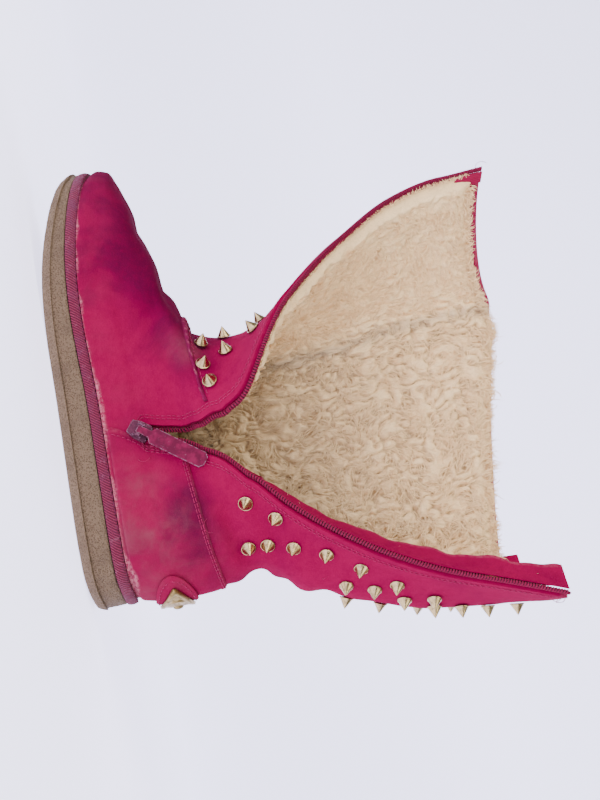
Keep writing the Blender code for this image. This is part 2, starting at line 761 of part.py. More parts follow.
def build_slider(look, place):
    """Wedge body with two ears, each drilled for the pull's pin."""
    wide = SLIDER_WIDTH / 2
    tall = SLIDER_LENGTH / 2
    narrow = wide * 0.72
    outline = ((-narrow, -tall), (narrow, -tall), (wide, -tall * 0.2), (wide, tall * 0.8), (wide * 0.7, tall),
               (0.0, tall * 0.8), (-wide * 0.7, tall), (-wide, tall * 0.8), (-wide, -tall * 0.2))
    work = bmesh.new()
    outline_prism(work, outline, 0.0, SLIDER_THICK)
    body = mesh_object("zip_slider", work, look, place)
    for side in (-1, 1):
        work = bmesh.new()
        middle = side * (EAR_APART + EAR_THICK) / 2
        rise = SLIDER_THICK + EAR_HEIGHT / 2 - EAR_SUNK / 2
        box_mesh(work, (EAR_THICK, EAR_LENGTH, EAR_HEIGHT + EAR_SUNK), (middle, 0.0, rise))
        add_boolean(body, mesh_object("ear", work, look, place), "UNION")
    work = bmesh.new()
    made = bmesh.ops.create_cone(work, cap_ends=True, segments=10, radius1=PIN_RADIUS + GAP,
                                 radius2=PIN_RADIUS + GAP, depth=SLIDER_WIDTH)
    bmesh.ops.rotate(work, verts=made["verts"], matrix=Matrix.Rotation(math.pi / 2, 3, "Y"))
    bmesh.ops.translate(work, verts=made["verts"], vec=(0.0, 0.0, hinge_height()))
    add_boolean(body, mesh_object("pin_hole", work, look, place), "DIFFERENCE")
    return body


def build_pull(look, place):
    """Long tab on a neck whose pin turns in the slider's ears; local Z is outwards, Y along the tab."""
    neck = PULL_NECK / 2
    wide = PULL_WIDTH / 2
    thick = PULL_THICK / 2
    end = PULL_LENGTH
    foot = -PIN_RADIUS - LAY_GAP
    corner = PULL_CORNER
    outline = ((-neck, foot), (neck, foot), (neck, PULL_SHOULDER), (wide, PULL_SHOULDER + corner),
               (wide, end - corner), (wide - corner, end), (corner - wide, end), (-wide, end - corner),
               (-wide, PULL_SHOULDER + corner), (-neck, PULL_SHOULDER))
    work = bmesh.new()
    outline_prism(work, outline, -thick, thick)
    pull = mesh_object("zip_pull", work, look, place)
    work = bmesh.new()
    made = bmesh.ops.create_cone(work, cap_ends=True, segments=10, radius1=PIN_RADIUS, radius2=PIN_RADIUS,
                                 depth=EAR_APART + 2 * EAR_THICK)
    bmesh.ops.rotate(work, verts=made["verts"], matrix=Matrix.Rotation(math.pi / 2, 3, "Y"))
    add_boolean(pull, mesh_object("pin", work, look, place), "UNION")
    return pull


def tangent_point(u, up, side, rise, depth):
    """Point at a sideways distance and a distance up from a place on the upper, at a depth."""
    point, outward = skin(u, up)
    across = skin(min(u + FINE_SHARE, 1.0), up)[0] - skin(u - FINE_SHARE, up)[0]
    upward = skin(u, up + FINE_SHARE)[0] - skin(u, up - FINE_SHARE)[0]
    du = 2 * FINE_SHARE * side / np.linalg.norm(across)
    dv = 2 * FINE_SHARE * rise / np.linalg.norm(upward)
    return skin(u + du, up + dv, depth)[0]


def badge_layer(name, outline, low, high, look):
    """Flat piece laid round the back of the heel, from an outline of sideways and upward distances."""
    rings = []
    for depth, shrink in ((low, 0.34), (low, 0.67), (low, 1.0), (high, 0.96), (high, 0.67), (high, 0.34)):
        rings.append([tangent_point(0.75, BADGE_UP, x * shrink, y * shrink, -depth) for x, y in outline])
    centres = [tangent_point(0.75, BADGE_UP, 0.0, 0.0, -depth) for depth in (low, high)]
    corners, faces = loft(rings, capped=False)
    count = len(outline)
    corners += centres
    last = len(rings) - 1
    for k in range(count):
        after = (k + 1) % count
        faces.append((k, after, len(corners) - 2))
        faces.append((last * count + k, last * count + after, len(corners) - 1))
    return add_object(name, corners, faces, look, sharp=30.0)


def build_badge(patch_look, plate_look):
    angles = np.arange(20) * math.pi / 10
    oval = [(BADGE_WIDTH / 2 * math.cos(a), BADGE_HEIGHT / 2 * math.sin(a)) for a in angles]
    on_counter = COUNTER_THICK + 6 * GAP
    badge_layer("heel_patch", oval, on_counter, on_counter + BADGE_THICK, patch_look)
    diamond = []
    for k in range(16):
        a = k * math.pi / 8
        reach = 1 / (abs(math.cos(a)) ** 1.25 + abs(math.sin(a)) ** 1.25) ** 0.8
        diamond.append((PLATE_WIDTH / 2 * reach * math.cos(a), PLATE_HEIGHT / 2 * reach * math.sin(a)))
    on_patch = on_counter + BADGE_THICK + 3 * GAP
    badge_layer("heel_plate", diamond, on_patch, on_patch + PLATE_THICK, plate_look)


def build_tab(look):
    """Small fabric tab on the outside of the collar, standing up past its edge."""
    u = 0.66
    point, outward = skin(u, 1.0)
    below = skin(u, 0.96)[0]
    side = skin(u + 0.01, 1.0)[0] - skin(u - 0.01, 1.0)[0]
    out = Vector(outward)
    up = Vector(point - below).normalized()
    across = up.cross(out).normalized()
    up = out.cross(across).normalized()
    work = bmesh.new()
    centre = (0.0, (TAB_HEIGHT - TAB_LAP) / 2, TAB_THICK / 2 + 2 * GAP + 0.0004)
    box_mesh(work, (TAB_WIDTH, TAB_HEIGHT + TAB_LAP, TAB_THICK), centre)
    return mesh_object("collar_tab", work, look, frame_matrix(Vector(point), across, up, out))


def stud_mesh():
    work = bmesh.new()
    rings = []
    for height in (0.0, STUD_RIM):
        ring = []
        for k in range(STUD_SIDES):
            a = 2 * math.pi * k / STUD_SIDES
            ring.append(work.verts.new((STUD_RADIUS * math.cos(a), STUD_RADIUS * math.sin(a), height)))
        rings.append(ring)
    low, high = rings
    tip = work.verts.new((0.0, 0.0, STUD_HEIGHT))
    for k in range(STUD_SIDES):
        after = (k + 1) % STUD_SIDES
        work.faces.new((low[k], low[after], high[after], high[k]))
        work.faces.new((high[k], high[after], tip))
    work.faces.new(low)
    bmesh.ops.recalc_face_normals(work, faces=work.faces)
    mesh = bpy.data.meshes.new("stud")
    work.to_mesh(mesh)
    work.free()
    mesh.shade_smooth()
    mesh.set_sharp_from_angle(angle=math.radians(50))
    return mesh


def stud_places():
    """Lines of studs up the shaft, beside the back zip edge and the front one."""
    places = []
    for back, count, first_up, last_up, *distances in STUD_LINES:
        steps = tuple(zip(np.linspace(0, 1, len(distances)), distances))
        for share in np.linspace(0, 1, count):
            up = first_up + (last_up - first_up) * share
            places.append((share_from_edge(up, float(curve(steps, 1, share)), back), up))
    return places


def stud_lift(u, up, point, outward):
    """How far the upper rises past a stud's middle under the stud's rim."""
    angles = 2 * math.pi * np.arange(STUD_SIDES) / STUD_SIDES
    reach = STUD_RADIUS + GAP
    around = [tangent_point(u, up, reach * math.cos(a), reach * math.sin(a), 0.0) for a in angles]
    return max(0.0, *[float((place - point) @ outward) for place in around])


def build_studs(look):
    mesh = stud_mesh()
    mesh.materials.append(look)
    for number, (u, up) in enumerate(stud_places(), start=1):
        point, outward = skin(u, up)
        point = point + outward * (2 * GAP + stud_lift(u, up, point, outward))
        stud = bpy.data.objects.new(f"stud_{number:02d}", mesh)
        bpy.context.scene.collection.objects.link(stud)
        turn = Vector(outward).to_track_quat("Z", "Y")
        stud.matrix_world = Matrix.Translation(Vector(point)) @ turn.to_matrix().to_4x4()


def main():
    clear_scene()
    suede = material("pink_suede", (0.50, 0.012, 0.085), 0.85)
    dark_suede = material("dark_pink_suede", (0.33, 0.010, 0.065), 0.85)
    twill = material("pink_twill", (0.36, 0.07, 0.14), 0.80)
    crumb = material("tan_rubber", (0.28, 0.19, 0.12), 0.90)
    fleece = material("cream_fleece", (0.62, 0.52, 0.40), 0.95)
    tape = material("zip_pink", (0.42, 0.012, 0.085), 0.55)
    painted = material("painted_zip_metal", (0.24, 0.10, 0.16), 0.45, 0.6)
    gold = material("pale_gold", (0.72, 0.58, 0.36), 0.28, 1.0)
    build_outsole(crumb)
    build_midsole(twill)
    build_insole(fleece)
    build_upper(suede)
    build_fleece(fleece)
    build_counter(suede)
    build_vamp_seam(dark_suede)
    build_zip("zip_front", False, tape)
    build_zip("zip_back", True, tape)
    build_guard(suede)
    centre, up, across, out = slider_frame()
    seat_out = centre + out * (COUNTER_THICK + 4 * GAP)
    build_slider(painted, frame_matrix(seat_out, across, up, out))
    lift = math.radians(PULL_LIFT)
    tab_up = (up * math.cos(lift) + out * math.sin(lift)).normalized()
    tab_out = (out * math.cos(lift) - up * math.sin(lift)).normalized()
    build_pull(painted, frame_matrix(seat_out + out * hinge_height(), across, tab_up, tab_out))
    build_badge(suede, gold)
    build_tab(suede)
    build_studs(gold)


main()
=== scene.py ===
# Looks of a worn, fleece-lined winter boot with studs, standing open at its zip
# Metres, Z up, toe towards -X, inner side of the foot towards -Y, heel's flat spot at the origin
import math
import bpy
import numpy as np
from mathutils import Matrix, Vector


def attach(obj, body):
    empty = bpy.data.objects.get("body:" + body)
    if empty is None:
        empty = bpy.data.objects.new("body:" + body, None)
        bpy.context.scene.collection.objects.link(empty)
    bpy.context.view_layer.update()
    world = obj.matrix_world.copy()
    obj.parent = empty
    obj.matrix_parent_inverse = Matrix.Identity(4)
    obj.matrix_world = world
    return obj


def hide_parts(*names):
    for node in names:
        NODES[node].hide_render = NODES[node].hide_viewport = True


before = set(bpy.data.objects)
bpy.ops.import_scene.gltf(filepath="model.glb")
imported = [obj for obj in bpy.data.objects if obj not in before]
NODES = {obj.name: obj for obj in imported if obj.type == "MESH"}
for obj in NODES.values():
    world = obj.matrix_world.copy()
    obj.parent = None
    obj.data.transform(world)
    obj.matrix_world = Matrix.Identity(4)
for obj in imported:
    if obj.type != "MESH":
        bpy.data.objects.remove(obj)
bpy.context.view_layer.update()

# Sole sizes
SOLE_LENGTH = 0.250
BALL_WIDTH = 0.094
HEEL_REACH = 0.034
TREAD_HEEL = 0.0150
TREAD_BALL = 0.0125
TREAD_TOE = 0.0075
MIDSOLE_THICK = 0.0055
TOE_SPRING = 0.024
TOE_SWING = 0.006
HEEL_BEVEL = 0.002
PAD_LENGTH = 0.024
FOREFOOT_PAD = 0.084
BAR_PITCH = 0.0125
BAR_GROOVE = 0.0045
GROOVE_DEPTH = 0.0016
GROOVE_DRAFT = 0.0006
GROOVE_MARGIN = 0.0040
TREAD_LAYER = 0.0048
TREAD_STEP = 0.0008
TREAD_TAPER = 0.0020

# Upper sizes
INSTEP_RISE = 0.0565
HEEL_RISE = 0.069
SHAFT_FRONT = 0.196
SHAFT_BACK = 0.135
UPPER_WALL = 0.0022
FLEECE_FOOT = 0.0060
FLEECE_SHAFT = 0.0085
INSOLE_THICK = 0.004
INSOLE_ROOM = 0.0056
COUNTER_THICK = 0.0011
FOLD_SOFTNESS = 0.050
SEAT_FOLLOW = 0.36
GAP = 0.0003
SLIT_FOOT = 0.12
SEAM_ANGLE = 0.27
COUNTER_START = 0.56
UP_LENGTH = 0.24
COLUMNS = 252
ROWS = 240

# Zip, seam, badge and tab sizes
ZIP_FOOT = 0.145
TAPE_WIDTH = 0.0060
TAPE_THICK = 0.0008
COIL_WIDTH = 0.0032
COIL_THICK = 0.0026
COIL_PITCH = 0.00145
COIL_WIRE = 0.00044
PATH_PITCH = 0.0006
STITCH_LENGTH = 0.0021
STITCH_GAP = 0.0007
STITCH_RADIUS = 0.00028
LOOSE_RADIUS = 0.00013
EDGE_BEVEL = 0.0003
GUARD_WIDTH = 0.0085
GUARD_RISE = 0.0110
GUARD_THICK = 0.0012
SEAM_WIDTH = 0.0036
SEAM_HEIGHT = 0.0016
BADGE_HEIGHT = 0.0215
BADGE_WIDTH = 0.052
BADGE_THICK = 0.0013
BADGE_UP = 0.135
PLATE_HEIGHT = 0.0175
PLATE_WIDTH = 0.040
PLATE_THICK = 0.0011
PLATE_RIM = 0.0005
RIVET_RADIUS = 0.0024
RIVET_HEIGHT = 0.0013
BADGE_SIDES = 96
STUD_SIDES = 28

# Sole outline: share of the length from the heel, half widths as shares of the ball width
OUTLINE = (
    # share, inner, outer
    (0.00, 0.640, 0.640),
    (0.12, 0.520, 0.520),
    (0.25, 0.420, 0.435),
    (0.40, 0.372, 0.425),
    (0.55, 0.415, 0.460),
    (0.70, 0.525, 0.545),
    (0.82, 0.585, 0.600),
    (0.92, 0.675, 0.665),
    (1.00, 0.780, 0.780),
)
TREAD_KEYS = (0.0, 0.35, 0.68, 1.0)

# Side view of the upper, as shares of the sole length, the rises and the ball width
PROFILE = (
    # up, front reach, front rise, back reach, back rise, inner, outer, last
    (0.00, 0.984, 0.000, 0.012, 0.000, 0.40, 0.42, 0.97),
    (0.07, 1.000, 0.080, 0.002, 0.150, 0.40, 0.42, 1.00),
    (0.14, 0.994, 0.175, -0.005, 0.300, 0.42, 0.43, 0.97),
    (0.20, 0.960, 0.290, -0.006, 0.440, 0.43, 0.43, 0.86),
    (0.27, 0.880, 0.480, -0.004, 0.580, 0.43, 0.42, 0.60),
    (0.34, 0.770, 0.665, 0.004, 0.710, 0.41, 0.40, 0.40),
    (0.41, 0.656, 0.850, 0.016, 0.860, 0.39, 0.39, 0.22),
    (0.47, 0.556, 1.000, 0.027, 1.000, 0.37, 0.39, 0.08),
    (0.54, 0.512, 1.100, -0.004, 1.090, 0.34, 0.38, 0.00),
    (0.62, 0.494, 1.260, -0.030, 1.230, 0.32, 0.36, 0.00),
    (0.72, 0.510, 1.450, -0.068, 1.420, 0.30, 0.33, 0.00),
    (0.81, 0.535, 1.640, -0.105, 1.620, 0.28, 0.30, 0.00),
    (0.905, 0.548, 1.830, -0.120, 1.810, 0.27, 0.28, 0.00),
    (1.00, 0.548, 2.000, -0.130, 2.000, 0.26, 0.26, 0.00),
)
# How the unzipped shaft lies open: for the front flap and then the back flap, the angle that it
# still turns through, the pull and the droop of its zip edge and its length as a share
OPENING = (
    # up, front turn, pull, length, droop, back turn, pull, length, droop
    (0.00, 180, 0.00, 1.00, 0.00, 180, 0.00, 1.00, 0.00),
    (0.12, 180, -0.09, 1.00, 0.00, 180, 0.09, 1.00, 0.00),
    (0.145, 180, -0.045, 1.00, 0.00, 180, 0.134, 1.00, 0.00),
    (0.20, 180, -0.034, 1.00, 0.00, 179, 0.128, 1.00, 0.00),
    (0.27, 180, 0.015, 1.00, 0.00, 178, 0.09, 1.00, 0.00),
    (0.34, 176, 0.066, 1.00, 0.00, 174, 0.04, 1.00, 0.00),
    (0.41, 169, 0.082, 0.97, 0.00, 166, -0.04, 1.00, 0.00),
    (0.47, 156, 0.03, 0.94, 0.00, 154, -0.09, 1.00, 0.00),
    (0.54, 130, -0.06, 0.88, 0.01, 140, -0.13, 0.96, 0.00),
    (0.62, 98, 0.00, 0.78, 0.03, 126, -0.12, 0.90, 0.00),
    (0.72, 71, 0.01, 0.70, 0.07, 113, -0.10, 0.86, -0.01),
    (0.81, 53, 0.03, 0.66, 0.12, 105, -0.08, 0.84, -0.03),
    (0.905, 41, 0.03, 0.66, 0.17, 99, -0.05, 0.84, -0.06),
    (1.00, 34, 0.01, 0.69, 0.23, 94, 0.00, 0.84, -0.10),
)

# The seam between the vamp and the shaft: share round, share of the way up
SEAM_LINE = (
    (0.00, 0.415),
    (0.03, 0.404),
    (0.065, 0.403),
    (0.13, 0.425),
    (0.20, 0.455),
    (0.25, 0.472),
    (0.50, 0.368),
)
# Top edge of the heel counter: share round, share of the way up
COUNTER_LINE = (
    (COUNTER_START, 0.075),
    (0.66, 0.240),
    (0.75, 0.325),
    (0.80, 0.313),
    (0.88, 0.289),
    (1.00, 0.268),
)

# Where the fleece ends at the collar: share round, height over the edge in metres
COLLAR_LINE = (
    (0.00, -0.0075),
    (0.24, -0.0070),
    (0.30, -0.0035),
    (0.34, 0.0012),
    (0.41, 0.0004),
    (0.50, -0.0030),
    (1.00, -0.0036),
)

# Share of the pile's depth that the sheets fill, their relief, and the hairs that stand over it
PILE_FILL = 0.42
PILE_LIFT = 0.0006
CURL_HEIGHT = 0.0044
WISP_ROOT = 0.0024
WISP_STEPS = 5
WISP_WIDTH = 0.00026
PILE_SHEETS = (
    # name, first and last share round, rows, columns
    ("fleece_pile_front", 0.00, 0.31, 240, 225),
    ("fleece_pile_outer", 0.31, 0.65, 262, 250),
    ("fleece_pile_back", 0.65, 1.00, 240, 235),
)
WISP_ZONES = (
    # name, number, shares round, shares of the way up, length, rise
    ("fleece_wisps_front", 5000, (0.02, 0.31), (0.42, 0.985), 0.0062, 0.0015),
    ("fleece_wisps_outer", 9500, (0.31, 0.65), (0.30, 0.99), 0.0095, 0.0026),
    ("fleece_wisps_back", 5000, (0.65, 1.0), (0.30, 0.99), 0.0085, 0.0024),
)
COLLAR_FRINGE = 3900
ZIP_FRINGE = 1900

# Creases of the upper: start and end as shares round and up, half width and depth in metres
CREASES = (
    # u, up, u, up, half width, depth
    (0.10, 0.34, 0.235, 0.40, 0.0060, 0.0020),
    (0.13, 0.26, 0.250, 0.31, 0.0070, 0.0016),
    (0.235, 0.345, 0.330, 0.32, 0.0055, 0.0018),
    (0.250, 0.44, 0.380, 0.37, 0.0050, 0.0022),
    (0.06, 0.20, 0.105, 0.36, 0.0060, 0.0013),
    (0.20, 0.485, 0.310, 0.475, 0.0045, 0.0020),
    (0.270, 0.54, 0.400, 0.50, 0.0070, 0.0022),
    (0.30, 0.62, 0.440, 0.59, 0.0070, 0.0016),
    (0.66, 0.455, 0.80, 0.445, 0.0060, 0.0030),
    (0.82, 0.43, 0.955, 0.36, 0.0050, 0.0016),
    (0.70, 0.52, 0.83, 0.53, 0.0060, 0.0018),
    (0.60, 0.47, 0.68, 0.50, 0.0060, 0.0018),
    (0.72, 0.60, 0.86, 0.63, 0.0070, 0.0014),
    (0.45, 0.50, 0.60, 0.47, 0.0070, 0.0018),
    (0.48, 0.66, 0.62, 0.63, 0.0080, 0.0014),
    (0.37, 0.28, 0.47, 0.24, 0.0060, 0.0012),
    (0.46, 0.40, 0.56, 0.36, 0.0060, 0.0016),
    (0.33, 0.78, 0.45, 0.74, 0.0090, 0.0012),
    (0.60, 0.80, 0.74, 0.83, 0.0090, 0.0012),
)


def curve(table, column, at):
    """Smooth curve through one column of a table, with no swings between its rows."""
    keys = np.array([row[0] for row in table], float)
    values = np.array([row[column] for row in table], float)
    at = np.clip(np.asarray(at, float), keys[0], keys[-1])
    step = np.diff(keys)
    slope = np.diff(values) / step
    lean = np.empty_like(values)
    lean[0] = slope[0]
    lean[-1] = slope[-1]
    before, after = slope[:-1], slope[1:]
    same_way = before * after > 0
    total = np.where(same_way, before + after, 1.0)
    lean[1:-1] = np.where(same_way, 2 * before * after / total, 0.0)
    index = np.clip(np.searchsorted(keys, at, side="right") - 1, 0, len(keys) - 2)
    width = step[index]
    t = (at - keys[index]) / width
    start = (1 + 2 * t) * (1 - t) ** 2 * values[index] + t * (1 - t) ** 2 * width * lean[index]
    end = t * t * (3 - 2 * t) * values[index + 1] - t * t * (1 - t) * width * lean[index + 1]
    return start + end


def ramp(share):
    """Soft step from 0 to 1."""
    share = np.clip(share, 0.0, 1.0)
    return share * share * (3 - 2 * share)


def lumps(points, size, seed):
    """Smooth noise from -1 to 1 at points, with lumps of a size."""
    table = np.random.default_rng(seed).random((24, 24, 24)) * 2 - 1
    place = np.asarray(points, float) / size + 500.0
    low = np.floor(place).astype(int)
    part = ramp(place - low)
    total = 0.0
    for corner in range(8):
        bits = np.array([(corner >> k) & 1 for k in range(3)])
        weight = np.prod(np.where(bits == 1, part, 1 - part), axis=-1)
        at = (low + bits) % 24
        total = total + weight * table[at[..., 0], at[..., 1], at[..., 2]]
    return total


def ground(s):
    share = np.asarray(s, float) / SOLE_LENGTH
    toe = np.clip((share - 0.53) / 0.47, 0.0, 1.05)
    heel = np.clip((0.07 - share) / 0.07, 0.0, 1.2)
    return TOE_SPRING * toe ** 2 + HEEL_BEVEL * heel ** 2


def tread_top(s):
    table = tuple(zip(TREAD_KEYS, (TREAD_HEEL, TREAD_HEEL, TREAD_BALL, TREAD_TOE)))
    return ground(s) + curve(table, 1, np.asarray(s, float) / SOLE_LENGTH)


def seat(s):
    return tread_top(s) + MIDSOLE_THICK + 2 * GAP


def swing(s):
    return -TOE_SWING * ramp((np.asarray(s, float) / SOLE_LENGTH - 0.55) / 0.45)


def half_width(share, side):
    return BALL_WIDTH * curve(OUTLINE, 1 if side < 0 else 2, share)


def edge_line(reach, rise, foot_rise, shaft_rise):
    """Point of the front or the back line in the side view."""
    s = reach * SOLE_LENGTH
    foot = foot_rise * min(rise, 1.0)
    shaft = shaft_rise * max(rise - 1.0, 0.0)
    return s, float(seat(np.clip(s, 0.0, SOLE_LENGTH))) + foot + shaft


def turned(u):
    keys = ((0.0, -SEAM_ANGLE), (0.25, math.pi / 2), (0.5, math.pi),
            (0.75, 1.5 * math.pi), (1.0, 2 * math.pi - SEAM_ANGLE))
    return curve(keys, 1, u)


def softened(heading, length, width):
    """Headings of the steps of a line with its bends spread over a width along it."""
    if width < 1e-4:
        return heading
    along = np.cumsum(length) - length / 2
    spread = [np.interp(along + offset, along, heading) for offset in np.linspace(-width / 2, width / 2, 25)]
    return np.mean(spread, axis=0)


def section(up):
    """Points once round the upper, from the zip's front edge by way of the toe to its back edge."""
    reach_f, rise_f, reach_b, rise_b, inner, outer, last = [float(curve(PROFILE, k, up)) for k in range(1, 8)]
    opening = [float(curve(OPENING, k, up)) for k in range(1, 9)]
    turn_f, pull_f, length_f, droop_f, turn_b, pull_b, length_b, droop_b = opening
    s_front, z_front = edge_line(reach_f, rise_f, INSTEP_RISE, SHAFT_FRONT)
    s_back, z_back = edge_line(reach_b, rise_b, HEEL_RISE, SHAFT_BACK)
    u = np.linspace(0.0, 1.0, COLUMNS + 1)
    angle = turned(u)
    share = (1 + np.sin(angle)) / 2
    s = s_back + (s_front - s_back) * share
    wide_in = last * half_width(share, -1) + (1 - last) * inner * BALL_WIDTH
    wide_out = last * half_width(share, 1) + (1 - last) * outer * BALL_WIDTH
    across = np.cos(angle)
    y = -across * np.where(across > 0, wide_in, wide_out)
    step = np.diff(np.stack([s, y], -1), axis=0)
    heading = np.unwrap(np.arctan2(step[:, 1], step[:, 0]))
    middle = COLUMNS // 2
    centre = (heading[middle - 1] + heading[middle]) / 2
    between = (u[1:] + u[:-1]) / 2
    turn = np.where(between < 0.5, turn_f, turn_b) / 180.0
    heading = centre + (heading - centre) * turn
    shorter = np.where(between < 0.5, 1 - (1 - length_f) * ramp((0.32 - between) / 0.12),
                       1 - (1 - length_b) * ramp((between - 0.68) / 0.12))
    length = np.hypot(step[:, 0], step[:, 1]) * shorter
    heading = softened(heading, length, FOLD_SOFTNESS * (1 - (turn_f + turn_b) / 360))
    step = np.stack([np.cos(heading), np.sin(heading)], -1) * length[:, None]
    flat = np.zeros((COLUMNS + 1, 2))
    flat[middle:] = np.concatenate([[(0.0, 0.0)], np.cumsum(step[middle:], axis=0)])
    flat[:middle] = -np.cumsum(step[:middle][::-1], axis=0)[::-1]
    flat += (s[middle], y[middle])
    flat[:, 0] += BALL_WIDTH * (pull_f * ramp(1 - u / 0.16) - pull_b * ramp(1 - (1 - u) / 0.16))
    ahead = (flat[:, 0] - s_back) / (s_front - s_back)
    z = z_back + (z_front - z_back) * ahead
    seats = [float(seat(np.clip(end, 0.0, SOLE_LENGTH))) for end in (s_back, s_front)]
    sag = seat(np.clip(flat[:, 0], 0.0, SOLE_LENGTH)) - (seats[0] + (seats[1] - seats[0]) * ahead)
    z += sag * float(ramp(1 - up / SEAT_FOLLOW))
    z -= BALL_WIDTH * (droop_f * ramp((0.28 - u) / 0.28) + droop_b * ramp((u - 0.72) / 0.28))
    bend = swing(np.clip(flat[:, 0], 0, SOLE_LENGTH))
    return np.stack([HEEL_REACH - flat[:, 0], flat[:, 1] + bend, z], -1)


def grid_normals(points, closed):
    """Outward directions of a grid of the upper, joined round where it is closed."""
    along = np.gradient(points, axis=1)
    joined = (points[closed, 1] - points[closed, -2]) / 2
    along[closed, 0] = joined
    along[closed, -1] = joined
    normal = np.cross(np.gradient(points, axis=0), along)
    return normal / np.linalg.norm(normal, axis=2, keepdims=True)


def from_line(points, start, end):
    """Distance of points from a straight stretch, and the share along it."""
    way = end - start
    share = np.clip((points - start) @ way / (way @ way), 0.0, 1.0)
    return np.linalg.norm(points - start - share[..., None] * way, axis=-1), share


def build_surface():
    """The upper's outside as a fine grid with its creases, and the outward directions."""
    ups = np.linspace(0.0, 1.0, ROWS + 1)
    points = np.array([section(up) for up in ups])
    closed = ups <= SLIT_FOOT + 1e-9
    normals = grid_normals(points, closed)

    def at(u, up):
        return points[int(round(up * ROWS)), int(round(u * COLUMNS))]

    push = np.zeros(points.shape[:2])
    for u0, up0, u1, up1, wide, deep in CREASES:
        middle = at((u0 + u1) / 2, (up0 + up1) / 2)
        first = from_line(points, at(u0, up0), middle)
        second = from_line(points, middle, at(u1, up1))
        nearer = first[0] < second[0]
        away = np.where(nearer, first[0], second[0])
        along = np.where(nearer, first[1] / 2, 0.5 + second[1] / 2)
        fade = ramp(along / 0.3) * ramp((1 - along) / 0.3) + 0.15
        trough = -np.exp(-(away / wide) ** 2)
        ridge = 0.45 * np.exp(-((away - 1.9 * wide) / wide) ** 2)
        push += deep * fade * (trough + ridge)
    soft = 0.00045 * lumps(points, 0.017, 3) + 0.0002 * lumps(points, 0.007, 4)
    u = np.linspace(0.0, 1.0, COLUMNS + 1)
    calm = ramp(u / 0.05) * ramp((1 - u) / 0.05)
    calm = calm[None, :] * ramp(ups / 0.10)[:, None] * ramp((1 - ups) / 0.06)[:, None]
    points = points + normals * ((push + soft) * calm)[..., None]
    return points, grid_normals(points, closed)


SURFACE, OUTWARD = build_surface()


def skin(u, up, depth=0.0):
    """Points at a depth under the upper's outside, and the outward directions there."""
    u, up, depth = np.broadcast_arrays(np.asarray(u, float), np.asarray(up, float), np.asarray(depth, float))
    x = np.clip(u, 0.0, 1.0) * COLUMNS
    y = np.clip(up, 0.0, 1.0) * ROWS
    column = np.clip(np.floor(x).astype(int), 0, COLUMNS - 1)
    row = np.clip(np.floor(y).astype(int), 0, ROWS - 1)
    x = (x - column)[..., None]
    y = (y - row)[..., None]
    result = []
    for grid in (SURFACE, OUTWARD):
        low = grid[row, column] * (1 - x) + grid[row, column + 1] * x
        high = grid[row + 1, column] * (1 - x) + grid[row + 1, column + 1] * x
        result.append(low * (1 - y) + high * y)
    outward = result[1] / np.linalg.norm(result[1], axis=-1, keepdims=True)
    return result[0] - outward * depth[..., None], outward


def share_from_edge(up, distance, from_back):
    """Share u at a distance along the upper from the zip's front or back edge."""
    line = skin(np.linspace(0, 1, COLUMNS + 1), up)[0]
    length = np.concatenate([[0.0], np.cumsum(np.linalg.norm(np.diff(line, axis=0), axis=1))])
    if from_back:
        distance = length[-1] - distance
    return np.interp(distance, length, np.linspace(0, 1, COLUMNS + 1))


# Meshes


def add_mesh(name, corners, faces, look, sharp=None):
    """A piece that rides on the boot, smooth but for the edges sharper than an angle."""
    mesh = bpy.data.meshes.new(name)
    mesh.from_pydata(np.asarray(corners, float).tolist(), [], faces)
    mesh.materials.append(LOOKS[look])
    mesh.shade_smooth()
    if sharp:
        mesh.set_sharp_from_angle(angle=math.radians(sharp))
    made = bpy.data.objects.new(name, mesh)
    bpy.context.scene.collection.objects.link(made)
    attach(made, "boot")
    return made


def set_colours(made, values):
    """Three numbers for each corner of a mesh, as the colour of wear, dirt and painted shade that its
    material reads.
    """
    layer = made.data.color_attributes.new("wear_and_shade", "FLOAT_COLOR", "POINT")
    data = np.ones((len(made.data.vertices), 4))
    data[:, :3] = values
    layer.data.foreach_set("color", data.ravel())


def set_weave(made, values):
    """The weave vector of each corner of a mesh, which its material reads."""
    layer = made.data.attributes.new("weave", "FLOAT_VECTOR", "POINT")
    layer.data.foreach_set("vector", np.asarray(values, float).ravel())


def grid_faces(rows, columns, start=0, flip=False):
    """Four-sided faces of a grid of corners, row after row."""
    first = (np.arange(rows - 1)[:, None] * columns + np.arange(columns - 1)[None, :]).ravel() + start
    faces = np.stack([first, first + 1, first + columns + 1, first + columns], -1)
    if flip:
        faces = faces[:, ::-1]
    return faces.tolist()


def rim_of(grid):
    """The outermost entries of a grid, once round."""
    return np.concatenate([grid[0], grid[1:, -1], grid[-1, -2::-1], grid[-2:0:-1, 0]])


def slab(top, bottom):
    """Corners and faces of a closed piece between two grids of points."""
    rows, columns = top.shape[:2]
    corners = np.concatenate([top.reshape(-1, 3), bottom.reshape(-1, 3)])
    count = rows * columns
    rim = rim_of(np.arange(count).reshape(rows, columns))
    after = np.roll(rim, -1)
    sides = np.stack([after, rim, rim + count, after + count], -1)
    return corners, grid_faces(rows, columns) + grid_faces(rows, columns, count, True) + sides.tolist()


def rimmed_sheet(face, back):
    """Corners and faces of one grid of points, with its rim closed towards a second grid."""
    rows, columns = face.shape[:2]
    rim = rim_of(np.arange(rows * columns).reshape(rows, columns))
    low = rows * columns + np.arange(len(rim))
    sides = np.stack([rim, low, np.roll(low, -1), np.roll(rim, -1)], -1)
    corners = np.concatenate([face.reshape(-1, 3), rim_of(back)])
    return corners, grid_faces(rows, columns) + sides.tolist()


